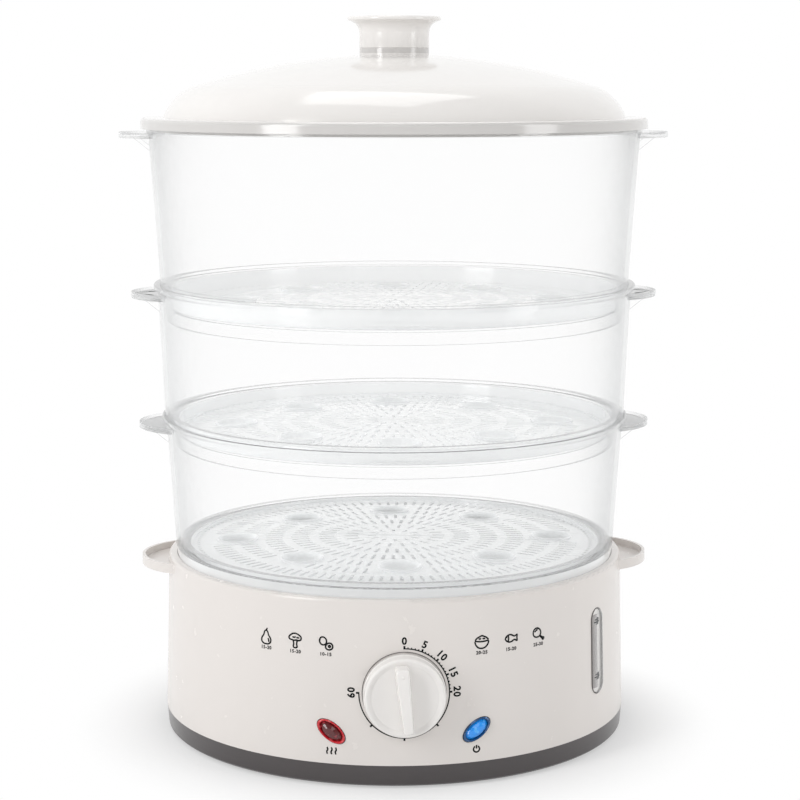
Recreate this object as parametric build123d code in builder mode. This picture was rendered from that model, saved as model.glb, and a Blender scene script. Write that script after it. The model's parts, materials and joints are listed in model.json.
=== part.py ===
from build123d import *
import math
import os

# An electric food steamer: a heated water base, a drip tray, three clear bowls with lift-out
# floors, and a lid. Everything is in millimetres. The origin is on the stack's upright axis, on
# the table that the feet stand on. +Z is up, -Y is the front with the timer dial, and +X is the
# right-hand side as seen from the front.

os.makedirs("parts", exist_ok=True)

# ---------------------------------------------------------------------------------------------
# Driving dimensions
# ---------------------------------------------------------------------------------------------

# Fits that all the pieces share
loose_gap = 0.3  # round a piece that lifts out or drops in
snug_gap = 0.1  # round a piece that is pushed into a hole
running_gap = 0.05  # round a turning shaft

# Feet
foot_radius = 9.0
foot_height = 1.5
foot_stud_radius = 2.6
foot_bulb_radius = 3.6
foot_bulb_height = 1.5
foot_inset = 21.3
foot_count = 4

# Bottom cover, the dark band at the foot of the base
cover_height = 10.5
cover_floor = 2.5
cover_draft = 0.8
cover_edge = 1.0
cover_lip_height = 4.0
cover_lip_wall = 2.2
standoff_radius = 5.2
standoff_height = 5.0
standoff_cap = 3.5

# Base housing, the white wall
housing_radius_bottom = 121.3
housing_radius_top = 119.3
housing_height = 71.0
housing_wall = 2.4

# Water tank, with the collar that is seen above the housing
collar_height = 10.0
collar_edge = 1.5
collar_top_draft = 0.4
tank_wall = 2.3
tank_spigot_depth = 4.0
tank_ledge_depth = 7.0
tank_ledge_width = 2.5
tank_deck_depth = 19.0
basin_depth = 40.5
basin_inset = 34.3
basin_floor = 2.5
tank_column_radius = 4.6
tank_column_inset = 15.3
tank_column_count = 6
ear_overhang = 14.0
ear_radius = 33.9
ear_wall = 1.6
ear_height = 5.0
ear_floor = 1.5
ear_drop = 7.0

# Screws: heads and shanks
screw_head_radius = 3.4
screw_head_height = 2.2
screw_shank_radius = 1.7
cover_screw_length = 18.0
heater_screw_length = 5.0
timer_screw_length = 8.0
knob_screw_length = 14.0

# Heater, clamped under the tank floor
heater_hole_radius = 37.0
heater_rim_radius = 43.0
heater_rim_thickness = 3.0
heater_gasket_thickness = 1.6
heater_gasket_width = 4.5
heater_clamp_thickness = 1.2
heater_clamp_inner_radius = 35.0
heater_lug_ring = 52.0
heater_lug_radius = 5.0
heater_lug_count = 3
element_ring_radius = 26.0
element_radius = 4.0
element_flat = 1.0
element_arc = 300.0
element_pin_inset = 7.5
element_pin_radius = 2.4
element_pin_length = 9.0
thermostat_radius = 8.0
thermostat_height = 12.0
thermostat_rim_radius = 11.0
thermostat_rim_thickness = 1.5
fuse_radius = 2.2
fuse_length = 14.0
fuse_offset = 16.0

# Steam ring that stands round the heater
steam_ring_radius = 50.0
steam_ring_wall = 2.0
steam_ring_height = 36.0
steam_notch_width = 12.0
steam_notch_height = 5.0
steam_notch_count = 4

# Drip tray
drip_rim_radius = 114.6
drip_rim_wall = 2.0
drip_rim_height = 11.3
drip_flange_drop = 8.2
drip_sheet = 1.6
drip_dish_radius = 96.0
drip_dish_depth = 9.5
drip_slot_ring = 104.5
drip_slot_width = 10.0
drip_slot_arc = 18.0
drip_slot_count = 12

# Bowls, from the lowest to the highest
bowl_height = (67.0, 68.0, 79.5)
bowl_skirt_depth = (3.3, 13.5, 17.2)
bowl_skirt_radius = (110.3, 116.1, 119.6)
bowl_skirt_draft = (0.2, 1.6, 1.6)
bowl_foot_radius = (115.1, 119.8, 121.1)
bowl_top_radius = (119.3, 122.6, 126.1)
bowl_rim_radius = (121.4, 124.8, 127.2)
bowl_tab_reach = (133.6, 136.7, 141.6)
bowl_tab_drop = (3.8, 3.9, 1.4)
bowl_wall = 2.2
bowl_bead_height = 1.7
bowl_rim_flare = 2.0
tab_radius = 34.0
tab_sheet = 1.6
tab_bead_width = 1.5
tab_bead_height = 2.8
gusset_height = 7.2
gusset_reach = 9.0
gusset_thickness = 1.8
gusset_spread = 14.0

# Floors of the bowls
floor_ledge_drop = (2.1, 7.0, 10.1)
floor_rim_height = (1.6, 6.0, 8.5)
floor_hole_ring = (103.0, 108.0, 112.0)
floor_ledge_width = 2.6
floor_ledge_thickness = 1.2
floor_sheet = 1.4
floor_rim_wall = 1.4
floor_hole_radius = 1.3
floor_hole_count = 60
floor_slot_width = 1.8
floor_slot_ring = (12.0, 23.0, 36.0, 50.0)
floor_slot_length = (5.0, 7.5, 8.0, 8.0)
floor_slot_count = (12, 20, 30, 40)
floor_grip_width = 44.0
floor_grip_height = 1.0
egg_cup_radius = 10.5
egg_cup_depth = 3.5
egg_cup_ring = 69.0
egg_cup_side_ring = 83.0
egg_cup_count = 8

# Lid
lid_flange_radius = 130.1
lid_flange_height = 5.5
lid_flange_edge = 2.0
lid_ring_depth = 1.4
lid_ring_wall = 2.0
lid_ring_gap = 0.7
lid_wall = 2.5
lid_dome_radius = 118.8
lid_dome_height = 32.0
lid_crown_curve = 339.0
lid_shoulder_radius = 102.0
lid_seat_radius = 17.9
lid_seat_height = 3.0
lid_seat_sheet = 2.5

# Knob of the lid
lid_knob_height = 16.0
lid_knob_rim_radius = 23.9
lid_knob_rim_height = 3.6
lid_knob_stem_height = 5.5
lid_knob_wall = 2.5
lid_knob_post_radius = 5.0
lid_knob_cavity_depth = 10.0

# Timer and its dial
dial_height = 47.7
dial_seat_depth = 1.4
dial_seat_radius = 18.4
dial_pad_radius = 21.0
dial_pad_thickness = 4.0
timer_width = 44.0
timer_plate_thickness = 1.2
timer_case_width = 40.0
timer_case_depth = 17.0
timer_bell_radius = 17.0
timer_bell_depth = 6.0
timer_bell_wall = 1.0
timer_bell_gap = 2.0
timer_stud_radius = 3.0
timer_screw_spacing = 26.0
timer_screw_radius = 1.4
timer_screw_head_radius = 2.7
timer_screw_head_height = 1.5
shaft_radius = 3.0
shaft_flat = 2.2
shaft_bore_depth = 12.0
shaft_grip = 6.0
dial_clearance = 0.43662  # behind the dial, where the sloping wall comes nearest to it
dial_radius = 20.0
dial_depth = 8.4
dial_wall = 2.7
dial_pocket_depth = 4.6
dial_hub_radius = 6.0
dial_hub_gap = 0.6
dial_dish_radius = 17.6
dial_dish_depth = 1.0
grip_height = 7.8
grip_length = 33.0
grip_width_top = 6.3
grip_width_bottom = 4.6
grip_draft = 5.0
grip_lean = 5.8
pointer_radius = 0.9
pointer_depth = 0.5
pointer_inset = 3.5

# Indicator lamps
lamp_angle = 16.9
lamp_height = 28.0
lamp_long_radius = 8.1
lamp_short_radius = 4.5
lamp_tilt = 36.0
lamp_proud = 0.9
lamp_bevel_width = 1.3
lamp_bevel_height = 1.4
lamp_flange_width = 1.7
lamp_flange_thickness = 1.7
lamp_holder_radius = 6.4
lamp_holder_wall = 1.4
lamp_holder_depth = 15.0
lamp_holder_back = 3.0
bulb_radius = 2.6
bulb_length = 9.0

# Water gauge
gauge_angle = 56.0
gauge_height = 53.1
gauge_length = 43.8
gauge_width = 11.4
gauge_proud = 0.4
gauge_flange_width = 2.6
gauge_flange_thickness = 1.6
gauge_gasket_thickness = 1.4
gauge_chamber_depth = 10.0
gauge_chamber_wall = 1.5
gauge_pipe_height = 36.8
gauge_pipe_radius = 4.0
gauge_bore_radius = 2.2
gauge_spigot_reach = 5.7

# Cord gland and terminal block
gland_height = 26.0
gland_bore_radius = 3.6
gland_neck_radius = 6.0
gland_flange_radius = 9.0
gland_flange_thickness = 2.2
gland_nose_length = 12.5
gland_nose_radius = 5.4
terminal_length = 30.0
terminal_width = 16.0
terminal_height = 12.0
terminal_offset = 70.0
terminal_bore_radius = 1.8
terminal_bore_pitch = 9.0

# ---------------------------------------------------------------------------------------------
# Heights and radii that follow from them
# ---------------------------------------------------------------------------------------------

cover_top = foot_height + cover_height
cover_inside = foot_height + cover_floor
standoff_top = cover_inside + standoff_height
screw_seat = standoff_top - standoff_cap
housing_top = cover_top + housing_height
housing_lean = math.atan2(housing_radius_bottom - housing_radius_top, housing_height)
housing_narrowest = min(housing_radius_bottom, housing_radius_top)
foot_ring_radius = housing_radius_bottom - foot_inset
tank_column_ring = housing_narrowest - tank_column_inset
basin_radius = housing_narrowest - basin_inset
dial_gap = dial_clearance + dial_radius * abs(math.tan(housing_lean))
collar_top = housing_top + collar_height
deck_top = collar_top - tank_deck_depth
ledge_top = collar_top - tank_ledge_depth
basin_floor_top = deck_top - basin_depth
basin_floor_bottom = basin_floor_top - basin_floor
drip_top = ledge_top + drip_rim_height

bowl_seat = [drip_top]
for height in bowl_height:
    bowl_seat.append(bowl_seat[-1] + height)
lid_bottom = bowl_seat[-1] + bowl_bead_height
flange_top = lid_bottom + lid_flange_height
crown_top = flange_top + lid_dome_height
knob_seat = crown_top + lid_seat_height


def housing_radius(height):
    """Outer radius of the housing's sloping wall at a height."""
    return housing_radius_bottom - (height - cover_top) * math.tan(housing_lean)


def on_wall(azimuth, height):
    """A plane that touches the housing's outer face, with +Z outwards and +Y up the wall."""
    turn = math.radians(azimuth)
    flat = math.cos(housing_lean)
    radius = housing_radius(height)
    return Plane(
        origin=(radius * math.cos(turn), radius * math.sin(turn), height),
        x_dir=(-math.sin(turn), math.cos(turn), 0),
        z_dir=(flat * math.cos(turn), flat * math.sin(turn), math.sin(housing_lean)),
    )


def facing_out(azimuth, radius, height):
    """An upright plane at a radius, with +Z outwards and +Y up."""
    turn = math.radians(azimuth)
    return Plane(
        origin=(radius * math.cos(turn), radius * math.sin(turn), height),
        x_dir=(-math.sin(turn), math.cos(turn), 0),
        z_dir=(math.cos(turn), math.sin(turn), 0),
    )


def crown_height(radius):
    """Height of the lid's crown at a distance from its middle."""
    return crown_top - lid_crown_curve + math.sqrt(lid_crown_curve**2 - radius**2)


dial_plane = facing_out(-90, housing_radius(dial_height), dial_height)
timer_front = -(dial_seat_depth + dial_pad_thickness)
left_lamp = on_wall(-90 - lamp_angle, lamp_height)
right_lamp = on_wall(-90 + lamp_angle, lamp_height)
lamps = ((left_lamp, -lamp_tilt), (right_lamp, lamp_tilt))
gauge_plane = on_wall(-90 + gauge_angle, gauge_height)
gland_plane = on_wall(90, gland_height)
behind_wall = -(housing_wall + 2 * loose_gap)

# ---------------------------------------------------------------------------------------------
# The base and what it holds
# ---------------------------------------------------------------------------------------------

with BuildPart() as rubber_feet:
    with BuildSketch():
        with PolarLocations(foot_ring_radius, foot_count, 45):
            Circle(foot_radius)
    extrude(amount=foot_height)
    with BuildSketch(Plane.XY.offset(foot_height)):
        with PolarLocations(foot_ring_radius, foot_count, 45):
            Circle(foot_stud_radius)
    extrude(amount=cover_floor)
    with BuildSketch(Plane.XY.offset(cover_inside)):
        with PolarLocations(foot_ring_radius, foot_count, 45):
            Circle(foot_bulb_radius)
    extrude(amount=foot_bulb_height)
rubber_feet.part.label = "rubber_feet"
export_step(rubber_feet.part, "parts/rubber_feet.step")

cover_lip_radius = housing_radius(cover_top + cover_lip_height) - housing_wall - loose_gap
with BuildPart() as base_cover:
    with BuildSketch(Plane.XZ):
        with BuildLine():
            Polyline(
                (0, foot_height),
                (housing_radius_bottom - cover_draft - cover_edge, foot_height),
                (housing_radius_bottom - cover_draft, foot_height + cover_edge),
                (housing_radius_bottom, cover_top),
                (cover_lip_radius, cover_top),
                (cover_lip_radius, cover_top + cover_lip_height),
                (cover_lip_radius - cover_lip_wall, cover_top + cover_lip_height),
                (cover_lip_radius - cover_lip_wall, cover_inside),
                (0, cover_inside),
                close=True,
            )
        make_face()
    revolve(axis=Axis.Z)
    with BuildSketch(Plane.XY.offset(cover_inside)):
        with PolarLocations(tank_column_ring, tank_column_count):
            Circle(standoff_radius)
    extrude(amount=standoff_height)
    with BuildSketch(Plane.XY.offset(foot_height)):
        with PolarLocations(tank_column_ring, tank_column_count):
            Circle(screw_head_radius + loose_gap)
    extrude(amount=screw_seat - foot_height, mode=Mode.SUBTRACT)
    with BuildSketch(Plane.XY.offset(foot_height)):
        with PolarLocations(tank_column_ring, tank_column_count):
            Circle(screw_shank_radius + loose_gap)
        with PolarLocations(foot_ring_radius, foot_count, 45):
            Circle(foot_stud_radius + snug_gap)
    extrude(amount=standoff_top - foot_height, mode=Mode.SUBTRACT)
base_cover.part.label = "base_cover"
export_step(base_cover.part, "parts/base_cover.step")

with BuildPart() as cover_screws:
    with BuildSketch(Plane.XY.offset(screw_seat - screw_head_height)):
        with PolarLocations(tank_column_ring, tank_column_count):
            Circle(screw_head_radius)
    extrude(amount=screw_head_height)
    with BuildSketch(Plane.XY.offset(screw_seat)):
        with PolarLocations(tank_column_ring, tank_column_count):
            Circle(screw_shank_radius)
    extrude(amount=cover_screw_length)
    with BuildSketch(Plane.XY.offset(screw_seat - screw_head_height)):
        with PolarLocations(tank_column_ring, tank_column_count):
            Rectangle(screw_head_radius, 0.25 * screw_head_radius)
            Rectangle(0.25 * screw_head_radius, screw_head_radius)
    extrude(amount=0.5 * screw_head_height, mode=Mode.SUBTRACT)
cover_screws.part.label = "cover_screws"
export_step(cover_screws.part, "parts/cover_screws.step")

with BuildPart() as base_housing:
    with BuildSketch(Plane.XZ):
        with BuildLine():
            Polyline(
                (housing_radius_bottom, cover_top),
                (housing_radius_top, housing_top),
                (housing_radius_top - housing_wall, housing_top),
                (housing_radius_bottom - housing_wall, cover_top),
                close=True,
            )
        make_face()
    revolve(axis=Axis.Z)
    # A flat pad on the inside carries the timer. It is trimmed to the wall's outer face.
    with BuildSketch(dial_plane.offset(timer_front)):
        Circle(dial_pad_radius)
    extrude(amount=dial_seat_depth + dial_pad_thickness + housing_wall)
    with BuildSketch(Plane.XZ):
        with BuildLine():
            Polyline(
                (housing_radius_bottom, cover_top),
                (housing_radius_top, housing_top),
                (housing_radius_bottom + dial_pad_radius, housing_top),
                (housing_radius_bottom + dial_pad_radius, cover_top),
                close=True,
            )
        make_face()
    revolve(axis=Axis.Z, mode=Mode.SUBTRACT)
    # A flat seat for the dial's screws, and holes for the screws and the timer's shaft.
    with BuildSketch(dial_plane.offset(-dial_seat_depth)):
        Circle(dial_seat_radius)
    extrude(amount=dial_seat_depth + dial_gap, mode=Mode.SUBTRACT)
    with BuildSketch(dial_plane.offset(timer_front)):
        Circle(shaft_radius + loose_gap)
        with GridLocations(timer_screw_spacing, 0, 2, 1):
            Circle(timer_screw_radius + 2 * snug_gap)
    extrude(amount=dial_seat_depth + dial_pad_thickness, mode=Mode.SUBTRACT)
    # Openings for the lamps, the gauge and the cord gland.
    for lamp_plane, tilt in lamps:
        with BuildSketch(lamp_plane):
            Ellipse(lamp_long_radius, lamp_short_radius, rotation=tilt)
        extrude(amount=2 * housing_wall, both=True, mode=Mode.SUBTRACT)
    with BuildSketch(gauge_plane):
        SlotOverall(gauge_length, gauge_width, rotation=90)
    extrude(amount=2 * housing_wall, both=True, mode=Mode.SUBTRACT)
    with BuildSketch(gland_plane):
        Circle(gland_neck_radius + snug_gap)
    extrude(amount=2 * housing_wall, both=True, mode=Mode.SUBTRACT)
base_housing.part.label = "base_housing"
export_step(base_housing.part, "parts/base_housing.step")

collar_inner_radius = drip_rim_radius + loose_gap
tank_inner_radius = collar_inner_radius - tank_ledge_width
spigot_radius = housing_radius_top - housing_wall - loose_gap
basin_outer_radius = basin_radius + tank_wall
pipe_azimuth = -90 + gauge_angle
clamp_top = basin_floor_bottom - heater_gasket_thickness - heater_rim_thickness
with BuildPart() as water_tank:
    with BuildSketch(Plane.XZ):
        with BuildLine():
            Polyline(
                (heater_hole_radius, basin_floor_bottom),
                (basin_outer_radius, basin_floor_bottom),
                (basin_outer_radius, deck_top - tank_wall),
                (tank_inner_radius + tank_wall, deck_top - tank_wall),
                (tank_inner_radius + tank_wall, housing_top - tank_spigot_depth),
                (spigot_radius, housing_top - tank_spigot_depth),
                (spigot_radius, housing_top),
                (housing_radius_top, housing_top),
                (housing_radius_top - collar_top_draft, collar_top),
                (collar_inner_radius, collar_top),
                (collar_inner_radius, ledge_top),
                (tank_inner_radius, ledge_top),
                (tank_inner_radius, deck_top),
                (basin_radius, deck_top),
                (basin_radius, basin_floor_top),
                (heater_hole_radius, basin_floor_top),
                close=True,
            )
        make_face()
    revolve(axis=Axis.Z)
    collar_edges = water_tank.edges().filter_by(GeomType.CIRCLE).group_by(Axis.Z)[-1]
    fillet(collar_edges.sort_by(SortBy.RADIUS)[-1], collar_edge)
    # An open dish on each side of the collar, to lift the base by and to fill it through.
    for side in (-1, 1):
        ear_middle = (side * (housing_radius_top + ear_overhang - ear_radius), 0)
        with BuildSketch(Plane.XY.offset(collar_top - ear_drop)):
            with Locations(ear_middle):
                Circle(ear_radius)
            Circle(housing_radius_top - 2 * ear_wall, mode=Mode.SUBTRACT)
        extrude(amount=ear_height)
        with BuildSketch(Plane.XY.offset(collar_top - ear_drop + ear_floor)):
            with Locations(ear_middle):
                Circle(ear_radius - ear_wall)
            Circle(housing_radius_top, mode=Mode.SUBTRACT)
        extrude(amount=ear_height, mode=Mode.SUBTRACT)
    # Columns down to the cover, which clamp the housing between the collar and the cover.
    with BuildSketch(Plane.XY.offset(standoff_top)):
        with PolarLocations(tank_column_ring, tank_column_count):
            Circle(tank_column_radius)
    extrude(amount=deck_top - tank_wall - standoff_top)
    with BuildSketch(Plane.XY.offset(standoff_top)):
        with PolarLocations(tank_column_ring, tank_column_count):
            Circle(screw_shank_radius + running_gap)
    extrude(amount=cover_screw_length, mode=Mode.SUBTRACT)
    # Bosses for the heater's clamp.
    with BuildSketch(Plane.XY.offset(clamp_top)):
        with PolarLocations(heater_lug_ring, heater_lug_count, 90):
            Circle(heater_lug_radius)
    extrude(amount=basin_floor_bottom - clamp_top)
    with BuildSketch(Plane.XY.offset(clamp_top)):
        with PolarLocations(heater_lug_ring, heater_lug_count, 90):
            Circle(screw_shank_radius + running_gap)
    extrude(amount=heater_screw_length, mode=Mode.SUBTRACT)
    # A spigot for the water gauge's pipe.
    with BuildSketch(facing_out(pipe_azimuth, basin_radius + tank_wall / 2, gauge_pipe_height)):
        Circle(gauge_pipe_radius)
    extrude(amount=tank_wall / 2 + gauge_spigot_reach)
    with BuildSketch(facing_out(pipe_azimuth, basin_radius - tank_wall, gauge_pipe_height)):
        Circle(gauge_bore_radius)
    extrude(amount=2 * tank_wall + gauge_spigot_reach, mode=Mode.SUBTRACT)
water_tank.part.label = "water_tank"
export_step(water_tank.part, "parts/water_tank.step")

# ---------------------------------------------------------------------------------------------
# Heater
# ---------------------------------------------------------------------------------------------

heater_rim_top = basin_floor_bottom - heater_gasket_thickness
with BuildPart() as heater_gasket:
    with BuildSketch(Plane.XY.offset(heater_rim_top)):
        Circle(heater_rim_radius)
        Circle(heater_rim_radius - heater_gasket_width, mode=Mode.SUBTRACT)
    extrude(amount=heater_gasket_thickness)
heater_gasket.part.label = "heater_gasket"
export_step(heater_gasket.part, "parts/heater_gasket.step")

with BuildPart() as heater_plate:
    with BuildSketch(Plane.XY.offset(clamp_top)):
        Circle(heater_rim_radius)
    extrude(amount=heater_rim_thickness)
    with BuildSketch(Plane.XY.offset(heater_rim_top)):
        Circle(heater_hole_radius - loose_gap)
    extrude(amount=basin_floor_top - heater_rim_top)
    plate_top = heater_plate.edges().group_by(Axis.Z)[-1]
    chamfer(plate_top, 0.25 * basin_floor)
heater_plate.part.label = "heater_plate"
export_step(heater_plate.part, "parts/heater_plate.step")

element_bottom = clamp_top - 2 * element_radius + element_flat
with BuildPart() as heating_element:
    with BuildSketch(Plane.XZ):
        with Locations((element_ring_radius, clamp_top - element_radius + element_flat)):
            Circle(element_radius)
        with Locations((element_ring_radius, clamp_top + element_radius)):
            Rectangle(4 * element_radius, 2 * element_radius, mode=Mode.SUBTRACT)
    revolve(axis=Axis.Z, revolution_arc=element_arc)
    with BuildSketch(Plane.XY.offset(element_bottom - element_pin_length + element_radius)):
        for pin_angle in (element_pin_inset, element_arc - element_pin_inset):
            with PolarLocations(element_ring_radius, 1, pin_angle):
                Circle(element_pin_radius)
    extrude(amount=element_pin_length)
heating_element.part.label = "heating_element"
export_step(heating_element.part, "parts/heating_element.step")

with BuildPart() as heater_clamp:
    with BuildSketch(Plane.XY.offset(clamp_top - heater_clamp_thickness)):
        Circle(heater_rim_radius)
        with PolarLocations(heater_lug_ring, heater_lug_count, 90):
            Circle(heater_lug_radius)
        with PolarLocations((heater_lug_ring + heater_rim_radius) / 2, heater_lug_count, 90):
            Rectangle(heater_lug_ring - heater_rim_radius + 2 * heater_lug_radius / 3, 2 * heater_lug_radius)
        Circle(heater_clamp_inner_radius, mode=Mode.SUBTRACT)
        with PolarLocations(heater_lug_ring, heater_lug_count, 90):
            Circle(screw_shank_radius + loose_gap, mode=Mode.SUBTRACT)
    extrude(amount=heater_clamp_thickness)
heater_clamp.part.label = "heater_clamp"
export_step(heater_clamp.part, "parts/heater_clamp.step")

clamp_bottom = clamp_top - heater_clamp_thickness
with BuildPart() as heater_screws:
    with BuildSketch(Plane.XY.offset(clamp_bottom - screw_head_height)):
        with PolarLocations(heater_lug_ring, heater_lug_count, 90):
            Circle(screw_head_radius)
    extrude(amount=screw_head_height)
    with BuildSketch(Plane.XY.offset(clamp_bottom)):
        with PolarLocations(heater_lug_ring, heater_lug_count, 90):
            Circle(screw_shank_radius)
    extrude(amount=heater_screw_length)
heater_screws.part.label = "heater_screws"
export_step(heater_screws.part, "parts/heater_screws.step")

with BuildPart() as thermostat:
    with BuildSketch(Plane.XY.offset(clamp_top - thermostat_rim_thickness)):
        Circle(thermostat_rim_radius)
    extrude(amount=thermostat_rim_thickness)
    with BuildSketch(Plane.XY.offset(clamp_top - thermostat_height)):
        Circle(thermostat_radius)
    extrude(amount=thermostat_height)
    fillet(thermostat.edges().group_by(Axis.Z)[0], 0.1 * thermostat_radius)
    with BuildSketch(Plane.XY.offset(clamp_top - thermostat_height)):
        with GridLocations(thermostat_radius, 0, 2, 1):
            Rectangle(0.1 * thermostat_radius, 0.6 * thermostat_radius)
    extrude(amount=-0.4 * thermostat_height)
thermostat.part.label = "thermostat"
export_step(thermostat.part, "parts/thermostat.step")

with BuildPart() as thermal_fuse:
    fuse_end = Plane(
        origin=(-fuse_length / 2, fuse_offset, clamp_top - fuse_radius),
        x_dir=(0, 1, 0),
        z_dir=(1, 0, 0),
    )
    with BuildSketch(fuse_end):
        Circle(fuse_radius)
    extrude(amount=fuse_length)
    # A saddle clip holds the fuse flat against the plate.
    with BuildSketch(Plane.XY.offset(clamp_top - 2 * fuse_radius)):
        with Locations((0, fuse_offset)):
            Rectangle(fuse_length / 3, 2.4 * fuse_radius)
    extrude(amount=2 * fuse_radius)
thermal_fuse.part.label = "thermal_fuse"
export_step(thermal_fuse.part, "parts/thermal_fuse.step")

# ---------------------------------------------------------------------------------------------
# Timer and dial
# ---------------------------------------------------------------------------------------------

timer_back = timer_front - timer_plate_thickness - timer_case_depth
with BuildPart() as timer_case:
    with BuildSketch(dial_plane.offset(timer_front - timer_plate_thickness)):
        RectangleRounded(timer_width, timer_width, timer_width / 10)
    extrude(amount=timer_plate_thickness)
    with BuildSketch(dial_plane.offset(timer_back)):
        RectangleRounded(timer_case_width, timer_case_width, timer_case_width / 10)
    extrude(amount=timer_case_depth)
    with BuildSketch(dial_plane.offset(timer_back - timer_bell_gap - timer_bell_depth + timer_bell_wall)):
        Circle(timer_stud_radius)
    extrude(amount=timer_bell_gap + timer_bell_depth - timer_bell_wall)
    with BuildSketch(dial_plane.offset(timer_front)):
        Circle(shaft_radius + running_gap)
    extrude(amount=-shaft_bore_depth, mode=Mode.SUBTRACT)
    with BuildSketch(dial_plane.offset(timer_front)):
        with GridLocations(timer_screw_spacing, 0, 2, 1):
            Circle(timer_screw_radius + running_gap)
    extrude(amount=-timer_screw_length, mode=Mode.SUBTRACT)
timer_case.part.label = "timer_case"
export_step(timer_case.part, "parts/timer_case.step")

with BuildPart() as timer_bell:
    with BuildSketch(dial_plane.offset(timer_back - timer_bell_gap - timer_bell_depth)):
        Circle(timer_bell_radius)
    extrude(amount=timer_bell_depth)
    bell_back = timer_bell.faces().sort_by(Axis.Y)[-1]
    fillet(bell_back.edges(), 0.5 * timer_bell_depth)
    with BuildSketch(dial_plane.offset(timer_back - timer_bell_gap)):
        Circle(timer_bell_radius - timer_bell_wall)
    extrude(amount=timer_bell_wall - timer_bell_depth, taper=20, mode=Mode.SUBTRACT)
timer_bell.part.label = "timer_bell"
export_step(timer_bell.part, "parts/timer_bell.step")

with BuildPart() as timer_screws:
    with BuildSketch(dial_plane.offset(-dial_seat_depth)):
        with GridLocations(timer_screw_spacing, 0, 2, 1):
            Circle(timer_screw_head_radius)
    extrude(amount=timer_screw_head_height)
    with BuildSketch(dial_plane.offset(-dial_seat_depth)):
        with GridLocations(timer_screw_spacing, 0, 2, 1):
            Circle(timer_screw_radius)
    extrude(amount=-timer_screw_length)
timer_screws.part.label = "timer_screws"
export_step(timer_screws.part, "parts/timer_screws.step")


def shaft_section(radius, flat):
    """A round section with one flat, as the timer's shaft and the dial's bore have."""
    Circle(radius)
    with Locations((0, radius + flat)):
        Rectangle(2 * radius, 2 * radius, mode=Mode.SUBTRACT)


shaft_back = timer_front - shaft_bore_depth + loose_gap
shaft_front = dial_gap + dial_hub_gap + shaft_grip
with BuildPart() as timer_shaft:
    with BuildSketch(dial_plane.offset(shaft_back)):
        Circle(shaft_radius)
    extrude(amount=-shaft_back + dial_gap)
    with BuildSketch(dial_plane.offset(dial_gap)):
        shaft_section(shaft_radius, shaft_flat)
    extrude(amount=shaft_front - dial_gap)
timer_shaft.part.label = "timer_shaft"
export_step(timer_shaft.part, "parts/timer_shaft.step")

dial_face = dial_gap + dial_depth
grip_plane = dial_plane.offset(dial_face - dial_dish_depth).rotated((0, 0, grip_lean))
with BuildPart() as timer_dial:
    with BuildSketch(dial_plane.offset(dial_gap)):
        Circle(dial_radius)
    extrude(amount=dial_depth, taper=1.5)
    front_face = timer_dial.faces().sort_by(Axis.Y)[0]
    fillet(front_face.edges(), 0.4 * dial_dish_depth)
    with BuildSketch(dial_plane.offset(dial_face - dial_dish_depth)):
        Circle(dial_dish_radius)
    extrude(amount=2 * dial_dish_depth, mode=Mode.SUBTRACT)
    with BuildSketch(dial_plane.offset(dial_gap)):
        Circle(dial_radius - dial_wall)
        Circle(dial_hub_radius, mode=Mode.SUBTRACT)
    extrude(amount=dial_pocket_depth, mode=Mode.SUBTRACT)
    with BuildSketch(dial_plane.offset(dial_gap)):
        Circle(dial_hub_radius)
    extrude(amount=dial_hub_gap, mode=Mode.SUBTRACT)
    # The grip is a bar across the dial, wider at the end that points to the minutes.
    with BuildSketch(grip_plane):
        with BuildLine():
            Polyline(
                (-grip_width_top / 2, grip_length / 2),
                (grip_width_top / 2, grip_length / 2),
                (grip_width_bottom / 2, -grip_length / 2),
                (-grip_width_bottom / 2, -grip_length / 2),
                close=True,
            )
        make_face()
    extrude(amount=grip_height + dial_dish_depth, taper=grip_draft)
    grip_edges = timer_dial.faces().sort_by(Axis.Y)[0].edges()
    fillet(grip_edges, 0.2 * grip_width_bottom)
    with BuildSketch(grip_plane.offset(grip_height + dial_dish_depth)):
        with Locations((0, grip_length / 2 - pointer_inset)):
            Circle(pointer_radius)
    extrude(amount=-pointer_depth, mode=Mode.SUBTRACT)
    with BuildSketch(dial_plane.offset(dial_gap)):
        shaft_section(shaft_radius + running_gap, shaft_flat + running_gap)
    extrude(amount=shaft_front - dial_gap + snug_gap, mode=Mode.SUBTRACT)
timer_dial.part.label = "timer_dial"
export_step(timer_dial.part, "parts/timer_dial.step")

# ---------------------------------------------------------------------------------------------
# Lamps
# ---------------------------------------------------------------------------------------------

lamp_flange_back = behind_wall - lamp_flange_thickness


def lamp_lens(lamp_plane, tilt):
    """A faceted oval lens that fills its opening from behind."""
    with BuildPart() as lens:
        with BuildSketch(lamp_plane.offset(lamp_flange_back)):
            Ellipse(lamp_long_radius + lamp_flange_width, lamp_short_radius + lamp_flange_width, rotation=tilt)
        extrude(amount=lamp_flange_thickness)
        with BuildSketch(lamp_plane.offset(lamp_flange_back)):
            Ellipse(lamp_long_radius - snug_gap, lamp_short_radius - snug_gap, rotation=tilt)
        extrude(amount=lamp_proud - lamp_flange_back)
        with BuildSketch(lamp_plane.offset(lamp_proud)):
            Ellipse(lamp_long_radius - lamp_bevel_width, lamp_short_radius - lamp_bevel_width, rotation=tilt)
        extrude(amount=lamp_bevel_height, taper=40)
    return lens


red_lamp_lens = lamp_lens(left_lamp, -lamp_tilt)
red_lamp_lens.part.label = "red_lamp_lens"
export_step(red_lamp_lens.part, "parts/red_lamp_lens.step")

blue_lamp_lens = lamp_lens(right_lamp, lamp_tilt)
blue_lamp_lens.part.label = "blue_lamp_lens"
export_step(blue_lamp_lens.part, "parts/blue_lamp_lens.step")

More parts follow.
